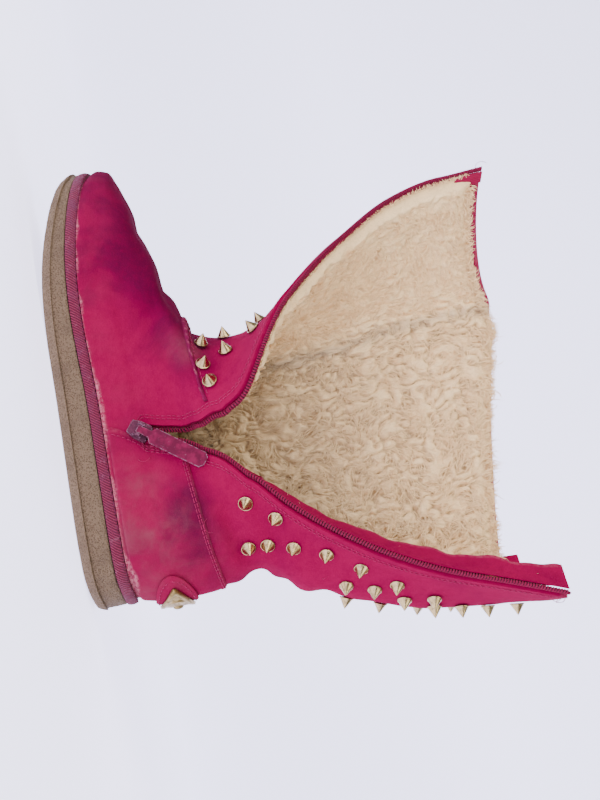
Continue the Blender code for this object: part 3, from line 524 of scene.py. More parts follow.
def ring_faces(levels, count, inward=False):
    """Four-sided faces between closed rings of corners, one ring after the other."""
    level, place = np.divmod(np.arange((levels - 1) * count), count)
    first = level * count + place
    after = level * count + (place + 1) % count
    faces = np.stack([first, after, after + count, first + count], -1)
    return (faces[:, [0, 3, 2, 1]] if inward else faces).tolist()


def capped_rings(rings, first_end, last_end, inward=False):
    """Corners and faces of a closed skin over rings of points, with a point to close each end."""
    levels, count = np.shape(rings)[:2]
    corners = np.concatenate([np.reshape(rings, (-1, 3)), [first_end, last_end]])
    last = (levels - 1) * count
    faces = ring_faces(levels, count, inward)
    for place in range(count):
        after = (place + 1) % count
        ends = [(after, place, levels * count), (last + place, last + after, levels * count + 1)]
        faces += [end[::-1] for end in ends] if inward else ends
    return corners, faces


def tubes(paths, radius, sides):
    """Corners and faces of many tubes, each along a path of the same number of points."""
    paths = np.asarray(paths, float)
    count, length = paths.shape[:2]
    way = np.gradient(paths, axis=1)
    way /= np.linalg.norm(way, axis=2, keepdims=True) + 1e-12
    helper = np.where(np.abs(way[:, :1, 2:3]) > 0.8, (1.0, 0.0, 0.0), (0.0, 0.0, 1.0))
    first = np.cross(way, np.broadcast_to(helper, way.shape))
    first /= np.linalg.norm(first, axis=2, keepdims=True) + 1e-12
    second = np.cross(way, first)
    angle = 2 * np.pi * np.arange(sides) / sides
    ring = first[:, :, None] * np.cos(angle)[:, None] + second[:, :, None] * np.sin(angle)[:, None]
    corners = (paths[:, :, None] + ring * radius).reshape(-1, 3)
    start = np.arange(count)[:, None, None] * length * sides
    faces = (np.array(ring_faces(length, sides))[None] + start).reshape(-1, 4).tolist()
    for start in range(0, count * length * sides, length * sides):
        faces.append(tuple(range(start + sides - 1, start - 1, -1)))
        faces.append(tuple(range(start + (length - 1) * sides, start + length * sides)))
    return corners, faces


def joined(parts):
    """Corners and faces of several pieces as one."""
    corners, faces, start = [], [], 0
    for points, shapes in parts:
        corners.append(np.asarray(points, float))
        faces += [tuple(index + start for index in shape) for shape in shapes]
        start += len(points)
    return np.concatenate(corners), faces


def resampled(line, pitch):
    """Points at an even pitch along a line of points."""
    steps = np.linalg.norm(np.diff(line[:, :3], axis=0), axis=1)
    length = np.concatenate([[0.0], np.cumsum(steps)])
    count = max(int(length[-1] / pitch), 2)
    at = np.linspace(0.0, length[-1], count + 1)
    return np.stack([np.interp(at, length, line[:, k]) for k in range(line.shape[1])], -1)


# Materials


class Look:
    """A material with short ways to add its nodes."""

    def __init__(self, name, rough, metallic=0.0, **fixed):
        self.material = bpy.data.materials.new(name)
        self.material.use_nodes = True
        self.tree = self.material.node_tree
        self.shader = self.tree.nodes["Principled BSDF"]
        self.shader.inputs["Roughness"].default_value = rough
        self.shader.inputs["Metallic"].default_value = metallic
        for key, value in fixed.items():
            self.shader.inputs[key.replace("_", " ")].default_value = value

    def node(self, kind, **settings):
        made = self.tree.nodes.new(kind)
        for key, value in settings.items():
            setattr(made, key, value)
        return made

    def put(self, socket, value):
        if isinstance(value, bpy.types.NodeSocket):
            self.tree.links.new(value, socket)
        elif isinstance(value, tuple) and len(value) == 3 and socket.type == "RGBA":
            socket.default_value = (*value, 1.0)
        else:
            socket.default_value = value

    def place(self):
        return self.node("ShaderNodeTexCoord").outputs["Object"]

    def stretched(self, vector, stretch=(1.0, 1.0, 1.0), turn=(0.0, 0.0, 0.0)):
        made = self.node("ShaderNodeMapping")
        self.put(made.inputs["Vector"], vector)
        made.inputs["Scale"].default_value = stretch
        made.inputs["Rotation"].default_value = turn
        return made.outputs["Vector"]

    def attribute(self, name, output="Vector"):
        return self.node("ShaderNodeAttribute", attribute_name=name).outputs[output]

    def channels(self, colour):
        made = self.node("ShaderNodeSeparateColor")
        self.put(made.inputs["Color"], colour)
        return [made.outputs[k] for k in range(3)]

    def noise(self, vector, scale, detail=3.0, rough=0.55, warp=0.0):
        made = self.node("ShaderNodeTexNoise")
        self.put(made.inputs["Vector"], vector)
        made.inputs["Scale"].default_value = scale
        made.inputs["Detail"].default_value = detail
        made.inputs["Roughness"].default_value = rough
        made.inputs["Distortion"].default_value = warp
        return made.outputs[0]

    def cells(self, vector, scale):
        made = self.node("ShaderNodeTexVoronoi")
        self.put(made.inputs["Vector"], vector)
        made.inputs["Scale"].default_value = scale
        return made.outputs["Distance"]

    def wave(self, vector, scale, warp):
        made = self.node("ShaderNodeTexWave", bands_direction="X", wave_profile="SIN")
        self.put(made.inputs["Vector"], vector)
        made.inputs["Scale"].default_value = scale
        made.inputs["Distortion"].default_value = warp
        made.inputs["Detail"].default_value = 1.0
        return made.outputs[1]

    def math(self, kind, first, second, clamp=False):
        made = self.node("ShaderNodeMath", operation=kind, use_clamp=clamp)
        self.put(made.inputs[0], first)
        self.put(made.inputs[1], second)
        return made.outputs[0]

    def spread(self, value, low, high, to_low=0.0, to_high=1.0):
        made = self.node("ShaderNodeMapRange", interpolation_type="SMOOTHSTEP")
        self.put(made.inputs[0], value)
        for k, number in enumerate((low, high, to_low, to_high)):
            made.inputs[k + 1].default_value = number
        return made.outputs[0]

    def mix(self, share, first, second):
        made = self.node("ShaderNodeMix", data_type="RGBA")
        self.put(made.inputs[0], share)
        self.put(made.inputs[6], first)
        self.put(made.inputs[7], second)
        return made.outputs[2]

    def edges(self, radius, low, high):
        """Share from 0 on flat places to 1 on edges sharper than a radius."""
        soft = self.node("ShaderNodeBevel", samples=6)
        soft.inputs["Radius"].default_value = radius
        product = self.node("ShaderNodeVectorMath", operation="DOT_PRODUCT")
        self.put(product.inputs[0], soft.outputs[0])
        self.put(product.inputs[1], self.node("ShaderNodeNewGeometry").outputs["Normal"])
        return self.spread(self.math("SUBTRACT", 1.0, product.outputs["Value"]), low, high)

    def bump(self, height, distance, strength=1.0, under=None):
        made = self.node("ShaderNodeBump")
        self.put(made.inputs["Height"], height)
        made.inputs["Distance"].default_value = distance
        made.inputs["Strength"].default_value = strength
        if under is not None:
            self.put(made.inputs["Normal"], under)
        return made.outputs[0]

    def finish(self, colour, normal, rough=None):
        self.put(self.shader.inputs["Base Color"], colour)
        self.put(self.shader.inputs["Normal"], normal)
        if rough is not None:
            self.put(self.shader.inputs["Roughness"], rough)
        return self.material


def suede_look(name, bright, deep):
    """Napped suede; the colour attribute holds dark patches with painted shade, pale rubbed nap and dust."""
    look = Look(name, 0.95, Sheen_Weight=0.02, Sheen_Roughness=0.5, Specular_IOR_Level=0.03)
    look.shader.inputs["Sheen Tint"].default_value = (1.0, 0.30, 0.50, 1.0)
    place = look.place()
    dark, pale, dust = look.channels(look.attribute("wear_and_shade", "Color"))
    broad = look.noise(place, 34.0, 5.0, 0.62, 0.5)
    nap = look.noise(place, 230.0, 5.0, 0.7)
    fibre = look.noise(place, 1500.0, 3.0, 0.6)
    brushed = look.noise(place, 62.0, 8.0, 0.66, 0.3)
    # The dark patches, partly painted shade, turn the bright pink towards the deep one
    patch = look.math("ADD", look.math("MULTIPLY", look.spread(broad, 0.30, 0.72), 0.45), dark)
    colour = look.mix(look.spread(patch, 0.15, 1.05), bright, deep)
    colour = look.mix(look.spread(nap, 0.38, 0.75, 0.0, 0.40), colour, tuple(0.66 * part for part in bright))
    colour = look.mix(look.spread(fibre, 0.5, 0.8, 0.0, 0.14), colour, (0.40, 0.0, 0.080))
    rubbed = look.math("MULTIPLY", dust, look.spread(brushed, 0.34, 0.74, 0.12, 0.72), clamp=True)
    colour = look.mix(rubbed, colour, (0.195, 0.060, 0.070))
    rag = look.spread(look.noise(place, 560.0, 5.0, 0.75), 0.36, 0.60)
    frayed = look.math("MULTIPLY", pale, rag, clamp=True)
    colour = look.mix(frayed, colour, (0.50, 0.15, 0.18))
    normal = look.bump(nap, 0.0005, 0.6)
    normal = look.bump(fibre, 0.00020, 0.8, normal)
    normal = look.bump(frayed, 0.0006, 0.5, normal)
    return look.finish(colour, normal)


def twill_look(name, colour, dark):
    """Diagonal twill; the weave vector holds the distance along and across the cloth."""
    look = Look(name, 0.8, Sheen_Weight=0.08, Specular_IOR_Level=0.15)
    weave = look.attribute("weave")
    rib = look.wave(look.stretched(weave, turn=(0.0, 0.0, math.radians(38))), 270.0, 0.8)
    cross = look.wave(look.stretched(weave, turn=(0.0, 0.0, math.radians(-50))), 460.0, 0.5)
    grime = look.noise(look.place(), 110.0, 5.0, 0.65)
    rubbed = look.noise(look.place(), 420.0, 4.0, 0.7)
    made = look.mix(look.spread(rib, 0.2, 0.8), dark, colour)
    made = look.mix(look.spread(cross, 0.2, 0.8, 0.25, 0.0), made, dark)
    made = look.mix(look.spread(grime, 0.42, 0.70, 0.0, 0.6), made, (0.13, 0.025, 0.06))
    made = look.mix(look.spread(rubbed, 0.56, 0.72, 0.0, 0.5), made, (0.34, 0.12, 0.17))
    normal = look.bump(rib, 0.0004, 0.9)
    return look.finish(made, look.bump(cross, 0.0002, 0.6, normal))


def tape_look(name, colour, dark):
    look = Look(name, 0.75, Sheen_Weight=0.05, Specular_IOR_Level=0.15)
    weave = look.attribute("weave")
    rib = look.wave(weave, 420.0, 0.5)
    cross = look.wave(look.stretched(weave, turn=(0.0, 0.0, math.radians(90))), 300.0, 0.5)
    height = look.math("MULTIPLY", rib, cross)
    tone = look.noise(look.place(), 160.0, 4.0)
    made = look.mix(look.spread(height, 0.0, 0.5), dark, colour)
    made = look.mix(look.spread(tone, 0.4, 0.75, 0.0, 0.4), made, dark)
    return look.finish(made, look.bump(height, 0.0002, 0.7))


def rubber_look(name, band, strip):
    """Pebbled crumb rubber; the weave vector's third number is 1 on the tread strip."""
    look = Look(name, 0.82, Specular_IOR_Level=0.25)
    place = look.place()
    zone = look.node("ShaderNodeSeparateXYZ")
    look.put(zone.inputs[0], look.attribute("weave"))
    pebble = look.cells(place, 1100.0)
    fine = look.noise(place, 2100.0, 3.0, 0.6)
    grime = look.noise(place, 70.0, 5.0, 0.6)
    colour = look.mix(look.spread(zone.outputs[2], 0.3, 0.7), band, strip)
    colour = look.mix(look.spread(pebble, 0.15, 0.6, 0.0, 0.45), colour, (0.28, 0.19, 0.115))
    colour = look.mix(look.spread(grime, 0.42, 0.75, 0.0, 0.6), colour, (0.10, 0.064, 0.040))
    colour = look.mix(look.spread(fine, 0.55, 0.8, 0.0, 0.3), colour, (0.09, 0.06, 0.04))
    normal = look.bump(pebble, 0.0006, 0.8)
    return look.finish(colour, look.bump(fine, 0.0002, 0.6, normal))


def fleece_look(name, pale, deep):
    """Wool pile; the colour attribute holds the height in the pile, painted as shade in the partings and at
    the roots, the dirt with painted shade, and a tone for each lock that also paints light on the front flap.
    """
    look = Look(name, 0.95, Sheen_Weight=0.12, Sheen_Roughness=0.5, Specular_IOR_Level=0.08)
    tip, dirt_and_shade, tone = look.channels(look.attribute("wear_and_shade", "Color"))
    place = look.place()
    fibre = look.noise(look.stretched(place, (1.0, 1.0, 0.5), (0.4, 0.2, 0.7)), 900.0, 4.0, 0.65, 1.2)
    clump = look.noise(place, 210.0, 4.0, 0.6, 0.8)
    # Painted shade: darker deep in the pile and in the partings, paler at the tips
    colour = look.mix(look.spread(tip, 0.0, 0.75), deep, pale)
    colour = look.mix(look.spread(clump, 0.35, 0.7, 0.0, 0.30), colour, (0.74, 0.52, 0.26))
    # Tone of each lock; its lower values on the front flap are painted light
    colour = look.mix(look.spread(tone, 0.0, 1.0, 0.0, 0.30), colour, (0.76, 0.55, 0.27))
    # Dirt together with painted shade, deep in the boot and along the fold
    colour = look.mix(look.math("MULTIPLY", dirt_and_shade, 0.85), colour, (0.40, 0.305, 0.20))
    colour = look.mix(look.spread(fibre, 0.42, 0.72, 0.0, 0.22), colour, deep)
    return look.finish(colour, look.bump(fibre, 0.0005, 0.8))


def thread_look(name, colour):
    look = Look(name, 0.75, Sheen_Weight=0.05, Specular_IOR_Level=0.2)
    twist = look.noise(look.place(), 1900.0, 2.0)
    made = look.mix(look.spread(twist, 0.35, 0.7), colour, tuple(0.55 * part for part in colour))
    return look.finish(made, look.bump(twist, 0.0002, 0.8))


def gold_look(name, bright, dull, rough):
    look = Look(name, rough, 1.0)
    place = look.place()
    tarnish = look.noise(place, 420.0, 4.0, 0.65)
    scratch = look.noise(look.stretched(place, (1.0, 1.0, 6.0)), 900.0, 2.0)
    colour = look.mix(look.spread(tarnish, 0.40, 0.72, 0.0, 0.75), bright, dull)
    shine = look.spread(tarnish, 0.35, 0.75, rough * 0.8, rough * 1.7)
    return look.finish(colour, look.bump(scratch, 0.00006, 0.5), shine)


def painted_metal_look(name, dark, bright):
    """Paint rubbed to grey metal along the edges and in streaks."""
    look = Look(name, 0.55, 0.0, Specular_IOR_Level=0.12)
    place = look.place()
    streak = look.noise(look.stretched(place, (1.0, 1.0, 0.45)), 620.0, 5.0, 0.7)
    edge = look.math("MULTIPLY", look.edges(0.0009, 0.01, 0.09), look.spread(streak, 0.43, 0.58))
    worn = look.math("ADD", look.spread(streak, 0.60, 0.76, 0.0, 0.5), edge, clamp=True)
    paint = look.mix(look.spread(look.noise(place, 240.0, 4.0), 0.4, 0.7), dark, bright)
    colour = look.mix(worn, paint, (0.30, 0.16, 0.21))
    look.put(look.shader.inputs["Metallic"], look.math("MULTIPLY", worn, 0.2))
    rough = look.spread(streak, 0.3, 0.7, 0.42, 0.6)
    return look.finish(colour, look.bump(streak, 0.00012, 0.5), rough)


BRIGHT = (0.255, 0.0, 0.042)
DEEP = (0.092, 0.0, 0.025)
LOOKS = {
    "suede": suede_look("pink_suede_napped", BRIGHT, DEEP),
    "seam": suede_look("dark_suede_rubbed", (0.15, 0.006, 0.040), (0.06, 0.001, 0.018)),
    "twill": twill_look("pink_twill_wrap", (0.25, 0.026, 0.062), (0.09, 0.005, 0.022)),
    "rubber": rubber_look("tan_crepe_rubber", (0.088, 0.054, 0.028), (0.114, 0.075, 0.042)),
    "fleece": fleece_look("cream_wool_pile", (1.0, 0.71, 0.355), (0.30, 0.175, 0.068)),
    "tape": tape_look("pink_zip_tape", (0.36, 0.0, 0.052), (0.20, 0.0, 0.030)),
    "coil": thread_look("pink_zip_coil", (0.25, 0.0, 0.040)),
    "thread": thread_look("pink_thread", (0.36, 0.004, 0.070)),
    "zip_core": thread_look("dark_zip_core", (0.055, 0.0, 0.012)),
    "dark_thread": thread_look("dark_thread", (0.16, 0.01, 0.05)),
    "metal": painted_metal_look("worn_painted_metal", (0.060, 0.012, 0.026), (0.12, 0.022, 0.048)),
    "tab": painted_metal_look("worn_pink_paint", (0.095, 0.002, 0.022), (0.180, 0.005, 0.040)),
    "gold": gold_look("pale_gold_plating", (0.50, 0.37, 0.17), (0.17, 0.115, 0.05), 0.22),
    "plate": gold_look("worn_gold_plate", (0.32, 0.22, 0.072), (0.13, 0.085, 0.028), 0.36),
}


# Pieces


def spots(points, marks):
    """Sum of soft spots at places on the upper: u, up, radius and strength."""
    total = np.zeros(points.shape[:-1])
    for u, up, radius, strength in marks:
        centre = skin(u, up)[0]
        total += strength * np.exp(-np.sum((points - centre) ** 2, axis=-1) / radius ** 2)
    return total


# Dark patches on the suede: partly dark stains, partly painted shade on the vamp's top and round the folds
DARK_PATCH_AND_SHADE_SPOTS = (
    # u, up, radius, strength
    (0.16, 0.36, 0.034, 0.75),
    (0.22, 0.27, 0.036, 0.70),
    (0.10, 0.42, 0.022, 0.55),
    (0.24, 0.18, 0.034, 0.60),
    (0.26, 0.08, 0.030, 0.50),
    (0.12, 0.22, 0.022, 0.30),
    (0.30, 0.40, 0.035, 0.50),
    (0.05, 0.44, 0.014, 0.40),
    (0.93, 0.235, 0.012, 0.60),
    (0.86, 0.22, 0.014, 0.45),
    (0.90, 0.30, 0.010, 0.35),
    (0.75, 0.47, 0.014, 0.35),
    (0.45, 0.40, 0.030, 0.40),
    (0.62, 0.60, 0.030, 0.30),
)
DUST_SPOTS = (
    (0.90, 0.17, 0.016, 0.50),
    (0.84, 0.24, 0.015, 0.40),
    (0.79, 0.07, 0.013, 0.60),
    (0.95, 0.09, 0.012, 0.45),
    (0.885, 0.055, 0.016, 0.60),
    (0.06, 0.33, 0.010, 0.35),
    (0.26, 0.07, 0.030, 0.45),
    (0.36, 0.08, 0.024, 0.35),
    (0.64, 0.10, 0.022, 0.55),
    (0.07, 0.40, 0.008, 0.50),
)


def wear_and_shade_at(points, u, up):
    """Dark patches with painted shade, pale rubbed nap and dust of the suede at points."""
    u, up = np.broadcast_arrays(u, up)
    # dark holds the dark patches, partly painted shade
    dark = spots(points, DARK_PATCH_AND_SHADE_SPOTS)
    dust = spots(points, DUST_SPOTS) + 0.12 * ramp((0.25 - up) / 0.2)
    rag = 0.004 + 0.014 * lumps(points, 0.011, 8) + 0.006 * lumps(points, 0.0025, 9)
    rag = rag + 0.020 * np.exp(-((u - 0.80) / 0.07) ** 2) + 0.006 * np.exp(-((u - 0.30) / 0.05) ** 2)
    pale = 1.1 * ramp((rag - (up - 0.006)) / 0.014)
    pale += 0.5 * ramp((up - 0.988) / 0.01)
    return np.stack([dark, np.clip(pale, 0, 1), np.clip(dust, 0, 1)], -1).reshape(-1, 3)


def build_upper():
    """Suede upper with its wall, slit down the inner side for the zip."""
    rows = np.unique(np.concatenate([np.linspace(0, 1, 131), [SLIT_FOOT, 0.1225, 0.1275, 0.1325, 0.1425]]))
    us = np.linspace(0, 1, COLUMNS + 1)
    corners, index = [], {}
    grids = []
    for depth in (0.0, UPPER_WALL):
        grids.append(skin(us[None, :], rows[:, None], depth)[0])
    wear_and_shade = wear_and_shade_at(grids[0], us[None, :], rows[:, None]).reshape(len(rows), -1, 3)
    shades = []
    slit = rows > SLIT_FOOT + 1e-9

    def corner(layer, row, column):
        if not slit[row] and column == COLUMNS:
            column = 0
        key = (layer, row, column)
        if key not in index:
            index[key] = len(corners)
            corners.append(grids[layer][row, column])
            shades.append(wear_and_shade[row, column])
        return index[key]

    faces = []
    for row in range(len(rows) - 1):
        for column in range(COLUMNS):
            ring = [(row, column), (row, column + 1), (row + 1, column + 1), (row + 1, column)]
            faces.append([corner(0, *place) for place in ring][::-1])
            faces.append([corner(1, *place) for place in ring])
    for row, way in ((0, 1), (len(rows) - 1, -1)):
        for column in range(COLUMNS):
            ring = [corner(0, row, column), corner(0, row, column + 1), corner(1, row, column + 1),
                    corner(1, row, column)]
            faces.append(ring[::way])
    for row in range(len(rows) - 1):
        if slit[row + 1]:
            for column, way in ((0, -1), (COLUMNS, 1)):
                ring = [corner(0, row, column), corner(0, row + 1, column), corner(1, row + 1, column),
                        corner(1, row, column)]
                faces.append(ring[::way])
    made = add_mesh("suede_upper", corners, faces, "suede", sharp=55)
    set_colours(made, np.array(shades))
    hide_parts("upper")


def counter_top(u):
    return curve(COUNTER_LINE, 1, u)


def build_counter():
    """Heel counter laid on the upper, its edges turned down to it."""
    across, rising = 150, 56
    u = np.linspace(COUNTER_START, 0.996, across)[:, None] + np.zeros((1, rising))
    share = np.linspace(0, 1, rising)[None, :]
    up = 0.014 + (counter_top(u) - 0.014) * share
    lift = np.full((across, rising), COUNTER_THICK)
    for k, height in enumerate((0.15, 0.72, 0.95)):
        lift[k, :] = lift[-1 - k, :] = COUNTER_THICK * height
        lift[:, k] = np.minimum(lift[:, k], COUNTER_THICK * height)
        lift[:, -1 - k] = np.minimum(lift[:, -1 - k], COUNTER_THICK * height)
    top = skin(u, up, -(GAP + lift))[0]
    bottom = skin(u, up, -GAP * 0.5)[0]
    corners, faces = slab(top, bottom)
    made = add_mesh("counter_panel", corners, faces, "suede", sharp=60)
    wear_and_shade = wear_and_shade_at(top, u, up)
    rim = (lift < COUNTER_THICK * 0.9).reshape(-1)
    wear_and_shade[:, 1] = np.clip(wear_and_shade[:, 1] + 0.10 * rim, 0, 1)
    wear_and_shade[:, 0] += 0.10
    set_colours(made, np.concatenate([wear_and_shade, wear_and_shade]))
    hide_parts("heel_counter")


def seam_line(u):
    return curve(SEAM_LINE, 1, u)


def build_vamp_seam():
    """Raised, rubbed seam where the vamp meets the shaft, with frayed fibres."""
    u = np.linspace(0.012, 0.5, 260)[:, None]
    turn = np.linspace(0, 1, 9)[None, :]
    half = SEAM_WIDTH / 2 / UP_LENGTH
    up = seam_line(u) + (turn * 2 - 1) * half
    crown = np.sqrt(np.clip(1 - (turn * 2 - 1) ** 2, 0, 1))
    rough = lumps(skin(u, up)[0], 0.0022, 21)
    twist = np.sin(2 * np.pi * (u / 0.011 + 0.6 * turn))
    height = SEAM_HEIGHT * crown * (0.90 + 0.22 * rough + 0.20 * twist) + 0.0002
    top = skin(u, up, -height)[0]
    corners, faces = slab(top, skin(u, up, 0.0004)[0])
    made = add_mesh("vamp_shaft_seam", corners, faces, "seam")
    wear_and_shade = np.zeros((len(corners), 3))
    wear_and_shade[:, 1] = np.tile((0.75 * crown * ramp(rough + 0.25) * ramp(0.5 + 0.6 * twist)).reshape(-1), 2)
    set_colours(made, wear_and_shade)
    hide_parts("vamp_seam")


def fleece_pile(up):
    return FLEECE_FOOT + (FLEECE_SHAFT - FLEECE_FOOT) * ramp((up - 0.35) / 0.3)


def fleece_edges(up):
    """Shares u at which the fleece begins and ends beside the zip."""
    open_share = ramp((up - SLIT_FOOT) / (ZIP_FOOT - SLIT_FOOT))
    front = share_from_edge(up, 0.0006 * open_share, False)
    back = share_from_edge(up, (GUARD_WIDTH + 0.0010) * open_share, True)
    return front, back


def fleece_dirt_and_shade(u, up):
    """Greyer pile down at the ankle and in the foot, dirt with painted shade, and painted shade along the
    fold beside the front flap.
    """
    low = ramp((0.90 - up) / 0.34) * ramp((u - 0.15) / 0.14)
    # Painted shade along the fold between the front flap and the outer side
    fold = 0.45 * np.exp(-((u - 0.285) / 0.022) ** 2)
    return np.clip(0.50 * low + 0.30 * ramp((0.52 - up) / 0.14) + fold, 0, 1)


def lip_shift(u, up):
    """How far the fleece's upper part is raised over the collar, or lowered where this is negative."""
    return curve(COLLAR_LINE, 1, u) * ramp((up - 0.90) / 0.10)


def pile_relief(place):
    """Height of the curled locks of the pile, as shares from 0 in the partings to 1."""
    sway = np.stack([lumps(place, 0.011, 90 + k) for k in range(3)], -1)
    curl = np.stack([lumps(place, 0.0045, 95 + k) for k in range(3)], -1)
    bent = place + 0.0040 * sway + 0.0016 * curl
    broad = np.abs(lumps(bent * (0.85, 0.85, 0.50), 0.0034, 98))
    fine = np.abs(lumps((bent + 0.0009 * curl) * (1.0, 1.0, 0.6), 0.0016, 99))
    return np.clip(1.7 * broad ** 0.75, 0, 1) * 0.76 + np.clip(1.6 * fine ** 0.8, 0, 1) * 0.24


def fleece_sheet(name, first, last, rows, columns):
    """Part of the pile between two shares of the way round, in curled relief."""
    ups = np.linspace(SLIT_FOOT, 1.0, rows)
    share = np.linspace(0, 1, columns)
    edges = np.array([fleece_edges(up) for up in ups])
    low = np.maximum(edges[:, :1], first) if first > 0 else edges[:, :1]
    high = np.minimum(edges[:, 1:], last) if last < 1 else edges[:, 1:]
    u = low * (1 - share) + high * share
    up = ups[:, None] + np.zeros_like(u)
    place = skin(u, up)[0]
    relief = pile_relief(place)
    swell = 0.0010 * lumps(place, 0.012, 31)
    border = np.ones_like(u)
    over_tape = np.zeros_like(u)
    if first == 0:
        border = border * (0.02 + 0.98 * ramp((u - low - 0.004) / 0.013))
        over_tape = ramp((0.020 - u) / 0.010) * ramp((up - SLIT_FOOT) / 0.05)
    if last == 1:
        border = border * ramp((high - u) / 0.012)
    border = border * (0.35 + 0.65 * ramp((1 - up) / 0.035))
    calm = 1.0 - 0.45 * ramp((0.27 - u) / 0.10) * ramp((up - 0.55) / 0.1)
    pile = fleece_pile(up) * PILE_FILL + swell + CURL_HEIGHT * relief * calm
    depth = UPPER_WALL + PILE_LIFT + pile * border
    depth = depth + (3 * GAP + TAPE_THICK) * over_tape
    outer = skin(u, up, UPPER_WALL + 2 * GAP + (2 * GAP + TAPE_THICK) * over_tape)[0]
    inner = skin(u, up, depth)[0]
    inner[..., 2] += lip_shift(u, up)
    outer[..., 2] += lip_shift(u, up)
    corners, faces = rimmed_sheet(inner, outer)
    made = add_mesh(name, corners, faces, "fleece")
    front = ramp((0.30 - u) / 0.06)
    # Painted light: the tone is lowered on the front flap to make its pile lighter
    tone = 0.40 - 0.40 * front + 0.20 * lumps(place, 0.009, 33)
    tone = tone + 0.5 * ramp((0.016 - u) / 0.006)
    # Painted shade in the partings between the locks, weaker on the front flap
    floor = 0.06 + 0.44 * front
    wear_and_shade = np.stack([floor + (1 - floor) * relief, fleece_dirt_and_shade(u, up), tone], -1)
    set_colours(made, np.clip(np.concatenate([wear_and_shade.reshape(-1, 3), rim_of(wear_and_shade)]), 0, 1))
    return made


def build_fleece_base():
    """Curled pile in three sheets round the boot."""
    fine = 1.0
    for name, first, last, rows, columns in PILE_SHEETS:
        made = fleece_sheet(name, first, last, int(rows * fine), int(columns * fine))
    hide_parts("fleece_lining")


def wisps(u, up, depth, seed, length, lift, lean=None):
    """Flat curled hairs growing from a depth at places u, up, as corners, faces and the colour of dirt and
    painted shade.
    """
    random = np.random.default_rng(seed)
    count = len(u)
    root, outward = skin(u, up, depth)
    root[:, 2] += lip_shift(u, up)
    ahead = skin(np.minimum(u + 0.004, 1.0), up)[0] - skin(np.maximum(u - 0.004, 0.0), up)[0]
    ahead /= np.linalg.norm(ahead, axis=1, keepdims=True)
    above = np.cross(ahead, outward)
    above *= np.sign(above[:, 2:3] + 1e-9)
    flow = 2.4 * lumps(root, 0.019, seed + 1) + 1.7 * lumps(root, 0.007, seed + 2) + 1.3
    if lean is not None:
        flow = lean + 0.45 * random.standard_normal(count)
    bend = 2.8 * lumps(root, 0.009, seed + 3) + 0.5 * random.standard_normal(count)
    flow = flow + 0.20 * random.standard_normal(count)
    t = np.linspace(0, 1, WISP_STEPS)
    angle = flow[:, None] + bend[:, None] * t[None, :]
    reach = length * (0.6 + 0.7 * random.random(count))
    x = np.cumsum(np.cos(angle), axis=1) * reach[:, None] / WISP_STEPS
    y = np.cumsum(np.sin(angle), axis=1) * reach[:, None] / WISP_STEPS
    rise = lift * (0.6 + 0.8 * random.random((count, 1))) * np.sin(np.pi * (0.12 + 0.62 * t[None, :]))
    path = root[:, None] + ahead[:, None] * x[..., None] + above[:, None] * y[..., None]
    path = path - outward[:, None] * rise[..., None]
    way = np.gradient(path, axis=1)
    side = np.cross(way, np.broadcast_to(outward[:, None], way.shape))
    side += 0.5 * np.linalg.norm(side, axis=2, keepdims=True) * random.standard_normal((count, 1, 3))
    side /= np.linalg.norm(side, axis=2, keepdims=True) + 1e-12
    wide = WISP_WIDTH * (0.7 + 0.6 * random.random((count, 1, 1))) * (1 - 0.75 * t[None, :, None] ** 2)
    corners = np.stack([path - side * wide, path + side * wide], 2).reshape(-1, 3)
    first = (np.arange(count)[:, None] * WISP_STEPS + np.arange(WISP_STEPS - 1)[None, :]).ravel() * 2
    faces = np.stack([first, first + 1, first + 3, first + 2], -1).tolist()
    # Painted shade: each hair darker towards its root
    tip = np.repeat(np.tile(0.45 + 0.55 * t, count), 2)
    dirt_and_shade = np.repeat(fleece_dirt_and_shade(u, up), 2 * WISP_STEPS)
    # Painted light: hairs on the front flap get less dark tone
    tone = np.repeat(0.9 * random.random(count) * ramp((u - 0.12) / 0.2), 2 * WISP_STEPS)
    return corners, faces, np.stack([tip, dirt_and_shade, tone], -1)


def add_wisps(name, parts):
    corners, faces = joined([part[:2] for part in parts])
    made = add_mesh(name, corners, faces, "fleece")
    set_colours(made, np.concatenate([part[2] for part in parts]))


def scattered(count, u_range, up_range, seed):
    """Random places on the lining between shares round and up, as many for each area."""
    random = np.random.default_rng(seed)
    ups = np.linspace(*up_range, 60)
    edges = np.array([fleece_edges(level) for level in ups])
    low = np.maximum(edges[:, 0] + 0.002, u_range[0])
    high = np.minimum(edges[:, 1] - 0.002, u_range[1])
    share = np.linspace(0, 1, 80)
    line = skin(low[:, None] * (1 - share) + high[:, None] * share, ups[:, None])[0]
    step = np.linalg.norm(np.diff(line, axis=1), axis=2)
    round_it = np.concatenate([np.zeros((60, 1)), np.cumsum(step, axis=1)], axis=1)
    tall = np.linalg.norm(np.gradient(line[:, 40], axis=0), axis=1)
    weight = np.cumsum(round_it[:, -1] * tall)
    row = np.interp(random.random(count) * weight[-1], weight, np.arange(60))
    up = np.interp(row, np.arange(60), ups)
    near = np.clip(np.round(row).astype(int), 0, 59)
    wanted = random.random(count) * round_it[near, -1]
    at = np.array([np.interp(value, round_it[k], share) for value, k in zip(wanted, near)])
    return low[near] * (1 - at) + high[near] * at, up


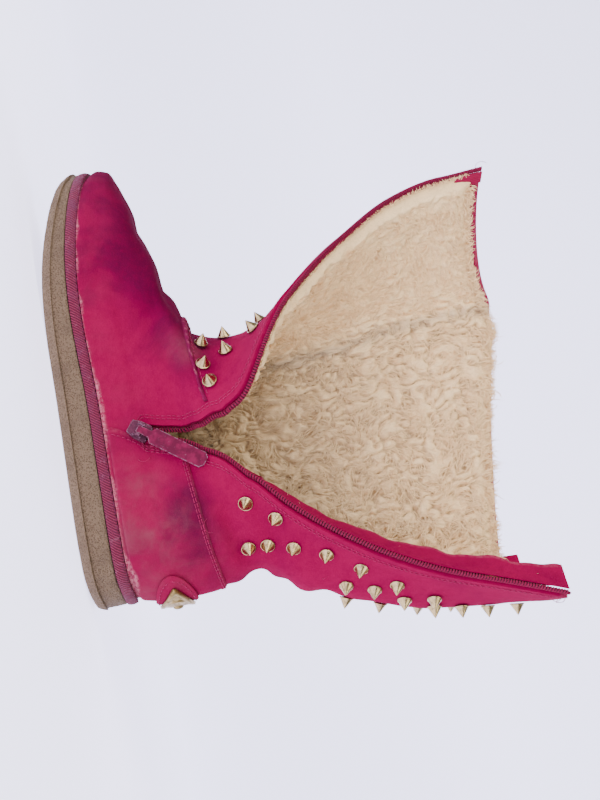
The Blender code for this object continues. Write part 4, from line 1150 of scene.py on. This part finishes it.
def build_fleece_wisps():
    """Loose hairs over the pile, and the fringe that stands over the collar and the zip's sides."""
    few = 1
    for k, (name, count, u_range, up_range, length, lift) in enumerate(WISP_ZONES):
        u, up = scattered(count // few, u_range, up_range, 51 + 10 * k)
        depth = UPPER_WALL + fleece_pile(up) * PILE_FILL + WISP_ROOT
        add_wisps(name, [wisps(u, up, depth, 52 + 10 * k, length, lift)])
    random = np.random.default_rng(80)
    count = COLLAR_FRINGE // few
    u = 0.015 + 0.945 * random.random(count)
    up = 0.985 + 0.012 * random.random(count)
    depth = UPPER_WALL + 0.0004 + 0.0052 * random.random(count)
    collar = wisps(u, up, depth, 81, 0.0052, 0.0010, math.pi / 2)
    count = ZIP_FRINGE // few
    up = 0.20 + 0.79 * random.random(count)
    u = np.array([fleece_edges(level)[0] for level in up]) + 0.004 * random.random(count)
    front = wisps(u, up, UPPER_WALL + 0.0012 + 0.0012 * random.random(count), 83, 0.0026, 0.0007, math.pi)
    up = 0.16 + 0.82 * random.random(count)
    u = np.array([fleece_edges(level)[1] for level in up]) - 0.006 * random.random(count)
    back = wisps(u, up, UPPER_WALL + 0.0040 + 0.0030 * random.random(count), 85, 0.0050, 0.0012, 0.0)
    add_wisps("fleece_fringe", [collar, front, back])


# Rows of stitches and threads


def stitches(line, outward, length=STITCH_LENGTH, gap=STITCH_GAP, radius=STITCH_RADIUS):
    """Short threads in a row along a line on the surface, each dipping at its ends."""
    both = np.concatenate([line, outward], axis=1)
    even = resampled(both, (length + gap) / 4)
    paths = []
    for start in range(0, len(even) - 4, 4):
        part = even[start:start + 4]
        lift = np.array([-0.4, 0.85, 0.85, -0.4])[:, None] * radius
        paths.append(part[:, :3] + part[:, 3:] * lift)
    return tubes(np.array(paths), radius, 5)


def surface_line(u, up, depth=0.0):
    point, outward = skin(u, up, depth)
    return np.atleast_2d(point), np.atleast_2d(outward)


def build_stitching():
    lift = -(GAP + COUNTER_THICK)
    rows = []
    u = np.linspace(COUNTER_START + 0.01, 0.99, 300)
    for inset in (0.010, 0.019):
        rows.append(stitches(*surface_line(u, counter_top(u) - inset, lift)))
    up = np.linspace(0.03, 0.26, 120)
    rows.append(stitches(*surface_line(np.full(120, 0.989), up, lift)))
    u = np.linspace(0.02, 0.49, 300)
    rows.append(stitches(*surface_line(u, seam_line(u) + 0.018, 0.0)))
    for back, first in ((False, 0.115), (True, 0.13)):
        for inset in (0.0036, 0.0052):
            up = np.linspace(first, 0.985, 500)
            u = np.array([share_from_edge(level, inset, back) for level in up])
            at_counter = back * ramp((counter_top(np.clip(u, COUNTER_START, 1)) - up) / 0.01)
            rows.append(stitches(*surface_line(u, up, lift * at_counter), radius=0.00026))
    corners, faces = joined(rows)
    made = add_mesh("pink_stitching", corners, faces, "thread")


def edge_frames(back, first):
    """Places along a zip edge: the edge, the way out past it, the outward direction and the way up."""
    ups = np.linspace(first, 1.0, 700)
    u = 1.0 if back else 0.0
    inner_u = 1 - 1 / COLUMNS if back else 1 / COLUMNS
    edge, outward = skin(u, ups)
    past = edge - skin(inner_u, ups)[0]
    past /= np.linalg.norm(past, axis=1, keepdims=True)
    outward = outward - past * np.sum(outward * past, axis=1, keepdims=True)
    outward /= np.linalg.norm(outward, axis=1, keepdims=True)
    return resampled(np.concatenate([edge, past, outward], axis=1), PATH_PITCH)


def strip(frames, outline):
    """Closed strip swept along frames from its outline of distances past the edge and depths."""
    edge, past, outward = frames[:, :3], frames[:, 3:6], frames[:, 6:]
    outline = np.asarray(outline, float)
    rings = edge[:, None] + past[:, None] * outline[None, :, :1] - outward[:, None] * outline[None, :, 1:]
    count = len(outline)
    corners = rings.reshape(-1, 3)
    faces = ring_faces(len(frames), count, True)
    faces.append(tuple(range(count)))
    faces.append(tuple(range(len(corners) - 1, len(corners) - count - 1, -1)))
    along = np.repeat(np.arange(len(frames)) * PATH_PITCH, count)
    width = np.tile(np.cumsum(np.hypot(*np.diff(outline, axis=0, prepend=outline[:1]).T)), len(frames))
    return corners, faces, np.stack([along, width, np.zeros(len(along))], -1)


def build_zip(node, back):
    """Half of the zip: woven tape, and a coil of monofilament round a dark cord along its edge."""
    frames = edge_frames(back, ZIP_FOOT)
    top = UPPER_WALL + 3 * GAP
    outline = ((-TAPE_WIDTH, top), (0.0, top), (0.0006, top + 0.0002), (0.0006, top + TAPE_THICK - 0.0002),
               (0.0, top + TAPE_THICK), (-TAPE_WIDTH / 2, top + TAPE_THICK), (-TAPE_WIDTH, top + TAPE_THICK))
    corners, faces, weave = strip(frames, outline)
    tape = add_mesh(node + "_tape", corners, faces, "tape", sharp=50)
    set_weave(tape, weave)
    length = PATH_PITCH * (len(frames) - 1)
    turns = int(length / COIL_PITCH)
    phase = np.linspace(0, turns, turns * 12)
    at = phase / turns * (len(frames) - 1)
    rows = np.stack([np.interp(at, np.arange(len(frames)), frames[:, k]) for k in range(9)], -1)
    middle = 0.0004 + COIL_WIDTH / 2
    deep = top + TAPE_THICK - COIL_THICK / 2
    swing_out = middle + (COIL_WIDTH / 2 - COIL_WIRE) * np.cos(2 * np.pi * phase)
    dip = deep + (COIL_THICK / 2 - COIL_WIRE) * np.sin(2 * np.pi * phase)
    path = rows[:, :3] + rows[:, 3:6] * swing_out[:, None] - rows[:, 6:] * dip[:, None]
    corners, faces = tubes(path[None], COIL_WIRE, 6)
    coil = add_mesh(node + "_coil", corners, faces, "coil")
    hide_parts(node)
    half = COIL_WIDTH / 2 - 1.6 * COIL_WIRE
    thin = COIL_THICK / 2 - 1.7 * COIL_WIRE
    turn = 2 * np.pi * np.arange(8) / 8
    outline = np.stack([middle + half * np.cos(turn), deep + thin * np.sin(turn)], -1)
    core = add_mesh(node + "_core", *strip(frames, outline)[:2], "zip_core")


def build_guard():
    """Bright strip of suede standing behind the zip's back edge, its free edge in slow waves."""
    frames = edge_frames(True, 0.20)
    near = UPPER_WALL + TAPE_THICK + 4 * GAP
    far = near + GUARD_RISE
    outline = ((0.0017, near + 0.0001), (0.0019, near + 0.0007), (0.0012, near + GUARD_THICK),
               (-GUARD_WIDTH * 0.35, near + GUARD_THICK + GUARD_RISE * 0.46),
               (-GUARD_WIDTH * 0.7, near + GUARD_THICK + GUARD_RISE * 0.80),
               (-GUARD_WIDTH + 0.0008, far + GUARD_THICK), (-GUARD_WIDTH + 0.0002, far + GUARD_THICK * 0.5),
               (-GUARD_WIDTH + 0.0008, far), (-TAPE_WIDTH, near + 0.0012))
    corners, faces, weave = strip(frames, outline)
    along = weave[:, 0]
    reach = np.tile([-over / GUARD_WIDTH for over, depth in outline], len(frames))
    wave = 0.0011 * np.sin(along / 0.0056) + 0.0005 * np.sin(along / 0.0027 + 1.0)
    out = np.repeat(frames[:, 6:], len(outline), axis=0)
    past = np.repeat(frames[:, 3:6], len(outline), axis=0)
    free = ramp(reach)[:, None]
    corners = corners - out * (wave[:, None] * free) - past * (0.6 * wave[:, None] * free)
    made = add_mesh("zip_guard_strip", corners, faces, "suede", sharp=70)
    wear_and_shade = np.zeros((len(corners), 3))
    wear_and_shade[:, 1] = 0.5 * ramp((reach - 0.86) / 0.06)
    set_colours(made, wear_and_shade)
    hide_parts("zip_guard")


# Sole


def outline_at(count):
    """Distance from the heel, side and fullness once round the sole."""
    angle = np.linspace(0, 2 * np.pi, count, endpoint=False)
    share = (1 - np.cos(angle)) / 2
    side = np.sin(angle)
    wide = np.where(side < 0, half_width(share, -1), half_width(share, 1))
    return share * SOLE_LENGTH, side, wide


def sole_ring(s, side, wide, inset, height):
    """Points round the sole at an inset from its outline."""
    full = np.maximum(np.abs(side) * wide - inset, 0.0006 * np.abs(side))
    reach = HEEL_REACH - SOLE_LENGTH / 2 + (SOLE_LENGTH / 2 - s) * (1 - 2 * inset / SOLE_LENGTH)
    return np.stack([reach, np.sign(side) * full + swing(s), height], -1)


def ring_mesh(rings):
    """Closed skin over rings round the sole, its two ends filled across."""
    rings = np.array(rings)
    levels, count = rings.shape[:2]
    corners = rings.reshape(-1, 3)
    faces = ring_faces(levels, count)
    for base, way in ((0, -1), ((levels - 1) * count, 1)):
        for k in range(count // 2):
            ring = [base + k, base + k + 1, base + (count - k - 1) % count, base + (count - k) % count]
            ring = list(dict.fromkeys(ring))
            faces.append(ring[::way])
    return corners, faces


def groove_starts():
    starts = []
    for k in range(1, int(SOLE_LENGTH / BAR_PITCH) - 1):
        start = k * BAR_PITCH
        pads = [abs(start + BAR_GROOVE / 2 - centre) for centre in (HEEL_REACH, HEEL_REACH + FOREFOOT_PAD)]
        if min(pads) > (PAD_LENGTH + BAR_GROOVE) / 2:
            starts.append(start)
    return starts


def build_outsole():
    """Crepe band over a tread strip with fine slanting ribs and bars across underneath."""
    count = 1400
    s, side, wide = outline_at(count)
    plain = sole_ring(s, side, wide, 0.0, ground(s))
    around = np.concatenate([[0], np.cumsum(np.linalg.norm(np.diff(plain, axis=0), axis=1))])
    deep = np.zeros(count)
    for start in groove_starts():
        inside = ramp((s - start) / GROOVE_DRAFT) * ramp((start + BAR_GROOVE - s) / GROOVE_DRAFT)
        deep = np.maximum(deep, inside)
    base = ground(s)
    top = tread_top(s)
    rings, zones = [], []

    def level(height, inset, zone):
        place = sole_ring(s, side, wide, 0.0, height)
        rough = 0.00016 * lumps(place, 0.0018, 61) + 0.00022 * lumps(place, 0.006, 62)
        rings.append(sole_ring(s, side, wide, inset + rough, height))
        zones.append(np.full(count, zone))

    level(base + GROOVE_DEPTH * deep, TREAD_TAPER + GROOVE_MARGIN, 1.0)
    level(base, TREAD_TAPER + GROOVE_MARGIN - GROOVE_DRAFT, 1.0)
    level(base, TREAD_TAPER + 0.0006, 1.0)
    for part in np.linspace(0, 1, 8):
        rib = 0.00042 * (0.5 + 0.5 * np.sin(2 * np.pi * (around / 0.0026 + part * 0.8)))
        fade = ramp((1 - part) / 0.12)
        height = base + TREAD_LAYER * (0.04 + 0.92 * part)
        level(height, TREAD_TAPER * (1 - part) ** 1.5 + rib * fade, 1.0)
    level(base + TREAD_LAYER, 0.0003, 0.6)
    level(base + TREAD_LAYER + 0.0002, TREAD_STEP + 0.0004, 0.2)
    for part in np.linspace(0.03, 0.93, 9):
        height = base + TREAD_LAYER + (top - base - TREAD_LAYER) * part
        level(height, TREAD_STEP + 0.0002 * (2 * part - 1) ** 2, 0.0)
    level(top - 0.0001, TREAD_STEP + 0.0005, 0.0)
    level(top, TREAD_STEP + 0.0012, 0.0)
    corners, faces = ring_mesh(rings)
    made = add_mesh("crepe_outsole", corners, faces, "rubber", sharp=45)
    set_weave(made, np.stack([np.tile(around, len(rings)), corners[:, 2], np.concatenate(zones)], -1))
    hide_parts("outsole")


def build_midsole():
    """Platform wrapped in twill, puckered where it turns round the heel and the toe."""
    count = 900
    s, side, wide = outline_at(count)
    low = tread_top(s) + GAP
    plain = sole_ring(s, side, wide, 0.0, low)
    around = np.concatenate([[0], np.cumsum(np.linalg.norm(np.diff(plain, axis=0), axis=1))])
    rings, lines = [], []
    ends = ramp((np.abs(s / SOLE_LENGTH - 0.5) - 0.30) / 0.2)
    for part in np.linspace(0, 1, 15):
        bulge = math.sin(math.pi * min(max(part, 0.02), 0.98)) ** 0.6
        fold = np.stack([around / 0.0045, np.zeros(count), np.full(count, part)], -1)
        pucker = 0.00025 * ends * lumps(fold, 1.0, 71)
        slack = 0.0003 * lumps(plain, 0.013, 72)
        inset = TREAD_STEP * (1 - bulge) + pucker + slack + 0.0008 * ramp((part - 0.9) / 0.1)
        rings.append(sole_ring(s, side, wide, inset, low + MIDSOLE_THICK * part))
        lines.append(np.stack([around, np.full(count, part * MIDSOLE_THICK), np.zeros(count)], -1))
    corners, faces = ring_mesh(rings)
    made = add_mesh("twill_wrapped_midsole", corners, faces, "twill", sharp=50)
    set_weave(made, np.concatenate(lines))
    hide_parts("wrapped_midsole")
    inset = TREAD_STEP + 0.0001
    height = low + MIDSOLE_THICK * 0.93
    line = sole_ring(s, side, wide, inset, height)
    out = line - sole_ring(s, side, wide, inset + 0.001, height)
    out[:, 2] = 0.0004
    out /= np.linalg.norm(out, axis=1, keepdims=True)
    line = np.concatenate([line, line[:1]])
    out = np.concatenate([out, out[:1]])
    corners, faces = stitches(line, out, 0.0030, 0.0009, 0.00036)
    made = add_mesh("rand_stitching", corners, faces, "dark_thread")


def build_insole():
    """Fleece-faced insole."""
    count = 300
    s, side, wide = outline_at(count)
    inset = INSOLE_ROOM + UPPER_WALL
    low = seat(s)
    rings = [sole_ring(s, side, wide, inset + edge, low + INSOLE_THICK * rise)
             for rise, edge in ((0.0, 0.0), (0.5, 0.0), (0.85, 0.0005), (1.0, 0.002))]
    for share in (0.8, 0.6, 0.4, 0.2):
        ring = sole_ring(s, side, wide, inset, low + INSOLE_THICK)
        middle = np.stack([ring[:, 0], swing(s), ring[:, 2]], -1)
        ring = middle + (ring - middle) * share
        ring[:, 2] += 0.0004 * lumps(ring, 0.006, 81)
        rings.append(ring)
    corners, faces = ring_mesh(rings)
    made = add_mesh("fleece_insole", corners, faces, "fleece", sharp=60)
    set_colours(made, np.tile([0.6, 0.75, 0.4], (len(corners), 1)))
    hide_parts("insole")


# Metal pieces


def node_corners(name):
    mesh = NODES[name].data
    data = np.empty(len(mesh.vertices) * 3)
    mesh.vertices.foreach_get("co", data)
    return np.unique(np.round(data.reshape(-1, 3), 6), axis=0)


def build_studs():
    """Turned cone studs with a rolled rim, in the places of the plain ones."""
    names = sorted(name for name in NODES if name.startswith("stud_"))
    # reach and rise of the turned outline, as shares of the rim's radius and of the height
    outline = ((0.90, 0.0), (1.0, 0.015), (1.04, 0.06), (1.0, 0.11), (0.93, 0.125), (0.90, 0.15),
               (0.62, 0.42), (0.34, 0.70), (0.13, 0.91), (0.05, 0.98))
    parts = []
    for name in names:
        points = node_corners(name)
        centre = points.mean(axis=0)
        tip = points[np.argmax(np.linalg.norm(points - centre, axis=1))]
        base = points[np.argsort(-np.linalg.norm(points - tip, axis=1))[:8]]
        foot = base.mean(axis=0)
        axis = tip - foot
        height = np.linalg.norm(axis)
        axis /= height
        radius = np.linalg.norm(base - foot, axis=1).mean()
        first = np.cross(axis, (0.3, 0.5, 0.8))
        first /= np.linalg.norm(first)
        second = np.cross(axis, first)
        angle = 2 * np.pi * np.arange(STUD_SIDES) / STUD_SIDES
        around = first[None] * np.cos(angle)[:, None] + second[None] * np.sin(angle)[:, None]
        rings = [foot + axis * rise * height + around * reach * radius for reach, rise in outline]
        parts.append(capped_rings(rings, foot, tip))
    corners, faces = joined(parts)
    made = add_mesh("gold_cone_studs", corners, faces, "gold", sharp=32)
    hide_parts(*names)


def tangent_skin(side, rise, depth):
    """Points round the badge's middle at sideways and upward distances, at a depth."""
    across = skin(0.76, BADGE_UP)[0] - skin(0.74, BADGE_UP)[0]
    upward = skin(0.75, BADGE_UP + 0.01)[0] - skin(0.75, BADGE_UP - 0.01)[0]
    u = 0.75 + side / (np.linalg.norm(across) / 0.02)
    up = BADGE_UP + rise / (np.linalg.norm(upward) / 0.02)
    return skin(u, up, depth)[0]


def badge_piece(x, y, share, height, foot, middle):
    """Closed piece on the heel: rings at shares of an outline x, y, its heights, and its flat foot."""
    top = tangent_skin(x * share, y * share, -height)
    ends = tangent_skin(np.zeros(2), np.zeros(2), -np.array([middle, foot]))
    return capped_rings([*top, tangent_skin(x, y, -foot)], *ends, inward=True)


def build_badge():
    """Oval patch with a row of stitches, and a bare plate with a raised rim, a ridge and a rivet."""
    angle = np.linspace(0, 2 * np.pi, BADGE_SIDES, endpoint=False)
    on_counter = COUNTER_THICK + 3 * GAP
    high = on_counter + BADGE_THICK
    share = np.linspace(0.0, 1.0, 12)[1:, None]
    x, y = BADGE_WIDTH / 2 * np.cos(angle), BADGE_HEIGHT / 2 * np.sin(angle)
    corners, faces = badge_piece(x, y, share, high - 0.0005 * (share > 0.999), on_counter, high)
    patch = add_mesh("heel_badge_patch", corners, faces, "suede", sharp=50)
    set_colours(patch, np.tile([0.0, 0.0, 0.4], (len(corners), 1)))
    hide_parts("heel_patch")
    on_patch = high + 2 * GAP
    reach = 1 / (np.abs(np.cos(angle)) ** 1.25 + np.abs(np.sin(angle)) ** 1.25) ** 0.8
    x, y = PLATE_WIDTH / 2 * reach * np.cos(angle), PLATE_HEIGHT / 2 * reach * np.sin(angle)
    share = np.linspace(0.0, 1.0, 26)[1:, None]
    across = np.abs(x * share) / (PLATE_WIDTH / 2)
    outer = ramp((share - 0.95) / 0.05)
    relief = PLATE_RIM * (ramp((share - 0.80) / 0.05) - outer)
    relief = relief + PLATE_RIM * ramp((0.10 - np.abs(across - 0.45)) / 0.05) * ramp((0.72 - share) / 0.1)
    rivet = np.sqrt(np.clip(1 - (np.hypot(x * share, y * share) / RIVET_RADIUS) ** 2, 0, 1))
    height = on_patch + PLATE_THICK - 0.0004 * outer + relief + RIVET_HEIGHT * rivet
    corners, faces = badge_piece(x, y, share, height, on_patch, on_patch + PLATE_THICK + RIVET_HEIGHT)
    plate = add_mesh("heel_badge_plate", corners, faces, "plate", sharp=40)
    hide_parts("heel_plate")
    turn = np.linspace(0, 2 * np.pi, 240)
    x, y = BADGE_WIDTH / 2 * 0.90 * np.cos(turn), BADGE_HEIGHT / 2 * 0.86 * np.sin(turn)
    rim = tangent_skin(x, y, -high)
    out = rim - tangent_skin(x, y, 0.0)
    out /= np.linalg.norm(out, axis=1, keepdims=True)
    corners, faces = stitches(rim, out, 0.0019, radius=0.00026)
    made = add_mesh("patch_stitching", corners, faces, "thread")


def build_loose_threads():
    """A few pulled threads at the ends of the zip and on the counter's seam."""
    starts = (
        # u, up, length, turn, rise
        (0.002, 0.998, 0.013, 2.6, 0.0020),
        (0.004, 0.990, 0.008, 1.2, 0.0030),
        (0.996, 0.998, 0.011, 0.4, 0.0030),
        (0.990, 0.996, 0.007, 2.0, 0.0025),
        (0.915, 0.300, 0.011, 1.9, 0.0035),
        (0.985, 0.150, 0.009, 2.9, 0.0025),
        (0.900, 0.612, 0.004, 0.7, 0.0020),
    )
    t = np.linspace(0, 1, 14)
    paths = []
    for k, (u, up, length, turn, rise) in enumerate(starts):
        point, outward = skin(u, up, -0.0003 - COUNTER_THICK * (up < 0.3))
        ahead = skin(min(u + 0.01, 1.0), up)[0] - skin(u - 0.01 if u > 0.01 else 0.0, up)[0]
        ahead /= np.linalg.norm(ahead)
        above = np.cross(outward, ahead)
        angle = turn + 2.6 * t * (-1) ** k
        x = np.cumsum(np.cos(angle)) * length / 14
        y = np.cumsum(np.sin(angle)) * length / 14
        z = rise * np.sin(np.pi * t)
        paths.append(point + ahead * x[:, None] + above * y[:, None] + outward * z[:, None])
    corners, faces = tubes(np.array(paths), LOOSE_RADIUS, 6)
    made = add_mesh("loose_threads", corners, faces, "thread")


def dress_node(name, look):
    """A carried-over solid with softened edges and a better material."""
    made = NODES[name]
    made.data.materials.clear()
    made.data.materials.append(LOOKS[look])
    weld = made.modifiers.new("weld", "WELD")
    weld.merge_threshold = 0.00001
    soft = made.modifiers.new("soft_edges", "BEVEL")
    soft.width = EDGE_BEVEL
    soft.segments = 3
    soft.limit_method = "ANGLE"
    soft.angle_limit = math.radians(35)


def build_stage():
    """Plain pale floor that rises softly into a backdrop."""
    reach = 3.0
    profile = [(-reach, 0.0), (1.1, 0.0)]
    profile += [(1.1 + 0.9 * math.sin(a), 0.9 - 0.9 * math.cos(a)) for a in np.linspace(0.1, math.pi / 2, 12)]
    profile.append((2.0, 3.5))
    top = np.array([[(x, y, z - 0.0002) for y, z in profile] for x in (-reach, reach)])
    mesh = bpy.data.meshes.new("pale_backdrop")
    mesh.from_pydata(top.reshape(-1, 3).tolist(), [], grid_faces(2, len(profile)))
    mesh.shade_smooth()
    look = Look("pale_paper", 0.85, Specular_IOR_Level=0.2)
    grain = look.noise(look.place(), 900.0, 3.0)
    colour = look.mix(look.spread(grain, 0.3, 0.7), (0.86, 0.86, 0.95), (0.89, 0.89, 0.97))
    look.put(look.shader.inputs["Emission Color"], (0.72, 0.71, 1.0, 1.0))
    look.put(look.shader.inputs["Emission Strength"], 2.5)
    mesh.materials.append(look.finish(colour, look.bump(grain, 0.0001, 0.3)))
    floor = bpy.data.objects.new("pale_backdrop", mesh)
    bpy.context.scene.collection.objects.link(floor)


LIGHT_AIM = Vector((-0.05, 0.0, 0.12))


def add_light(name, place, size, power, tint):
    """Round soft light turned towards the boot."""
    data = bpy.data.lights.new(name, "AREA")
    data.shape = "DISK"
    data.size = size
    data.energy = power
    data.color = tint
    made = bpy.data.objects.new(name, data)
    made.location = place
    made.rotation_euler = (LIGHT_AIM - Vector(place)).to_track_quat("-Z", "Y").to_euler()
    bpy.context.scene.collection.objects.link(made)


def build_light():
    world = bpy.data.worlds.new("soft_room")
    world.use_nodes = True
    back = world.node_tree.nodes["Background"]
    back.inputs["Color"].default_value = (0.86, 0.87, 1.0, 1.0)
    back.inputs["Strength"].default_value = 0.39
    bpy.context.scene.world = world
    add_light("window", (-0.75, -1.2, 0.9), 1.1, 17.5, (1.0, 0.97, 0.92))
    add_light("ceiling", (0.75, -1.0, 1.25), 1.4, 15.5, (1.0, 0.98, 0.95))


# The photograph's camera, turned towards the middle of the boot
CAMERA_PLACE = Vector((0.063, -0.43, 0.047))
CAMERA_AIM = Vector((-0.060, 0.0, 0.132))
CAMERA_RIGHT = Vector((0.2334, -0.1772, 0.9562))
CAMERA_LENS = 35.0


def build_camera():
    data = bpy.data.cameras.new("photo_view")
    data.sensor_width = 36.0
    data.lens = CAMERA_LENS
    data.clip_start = 0.01
    made = bpy.data.objects.new("photo_view", data)
    ahead = (CAMERA_AIM - CAMERA_PLACE).normalized()
    right = (CAMERA_RIGHT - ahead * CAMERA_RIGHT.dot(ahead)).normalized()
    up = right.cross(ahead)
    turn = Matrix((right, up, -ahead)).transposed()
    made.matrix_world = Matrix.Translation(CAMERA_PLACE) @ turn.to_4x4()
    bpy.context.scene.collection.objects.link(made)
    bpy.context.scene.camera = made


build_upper()
build_counter()
build_vamp_seam()
build_fleece_base()
build_fleece_wisps()
build_zip("zip_front", False)
build_zip("zip_back", True)
build_guard()
build_stitching()
build_outsole()
build_midsole()
build_insole()
build_studs()
build_badge()
build_loose_threads()
dress_node("zip_slider", "metal")
dress_node("zip_pull", "tab")
dress_node("collar_tab", "suede")
build_stage()
build_light()
build_camera()
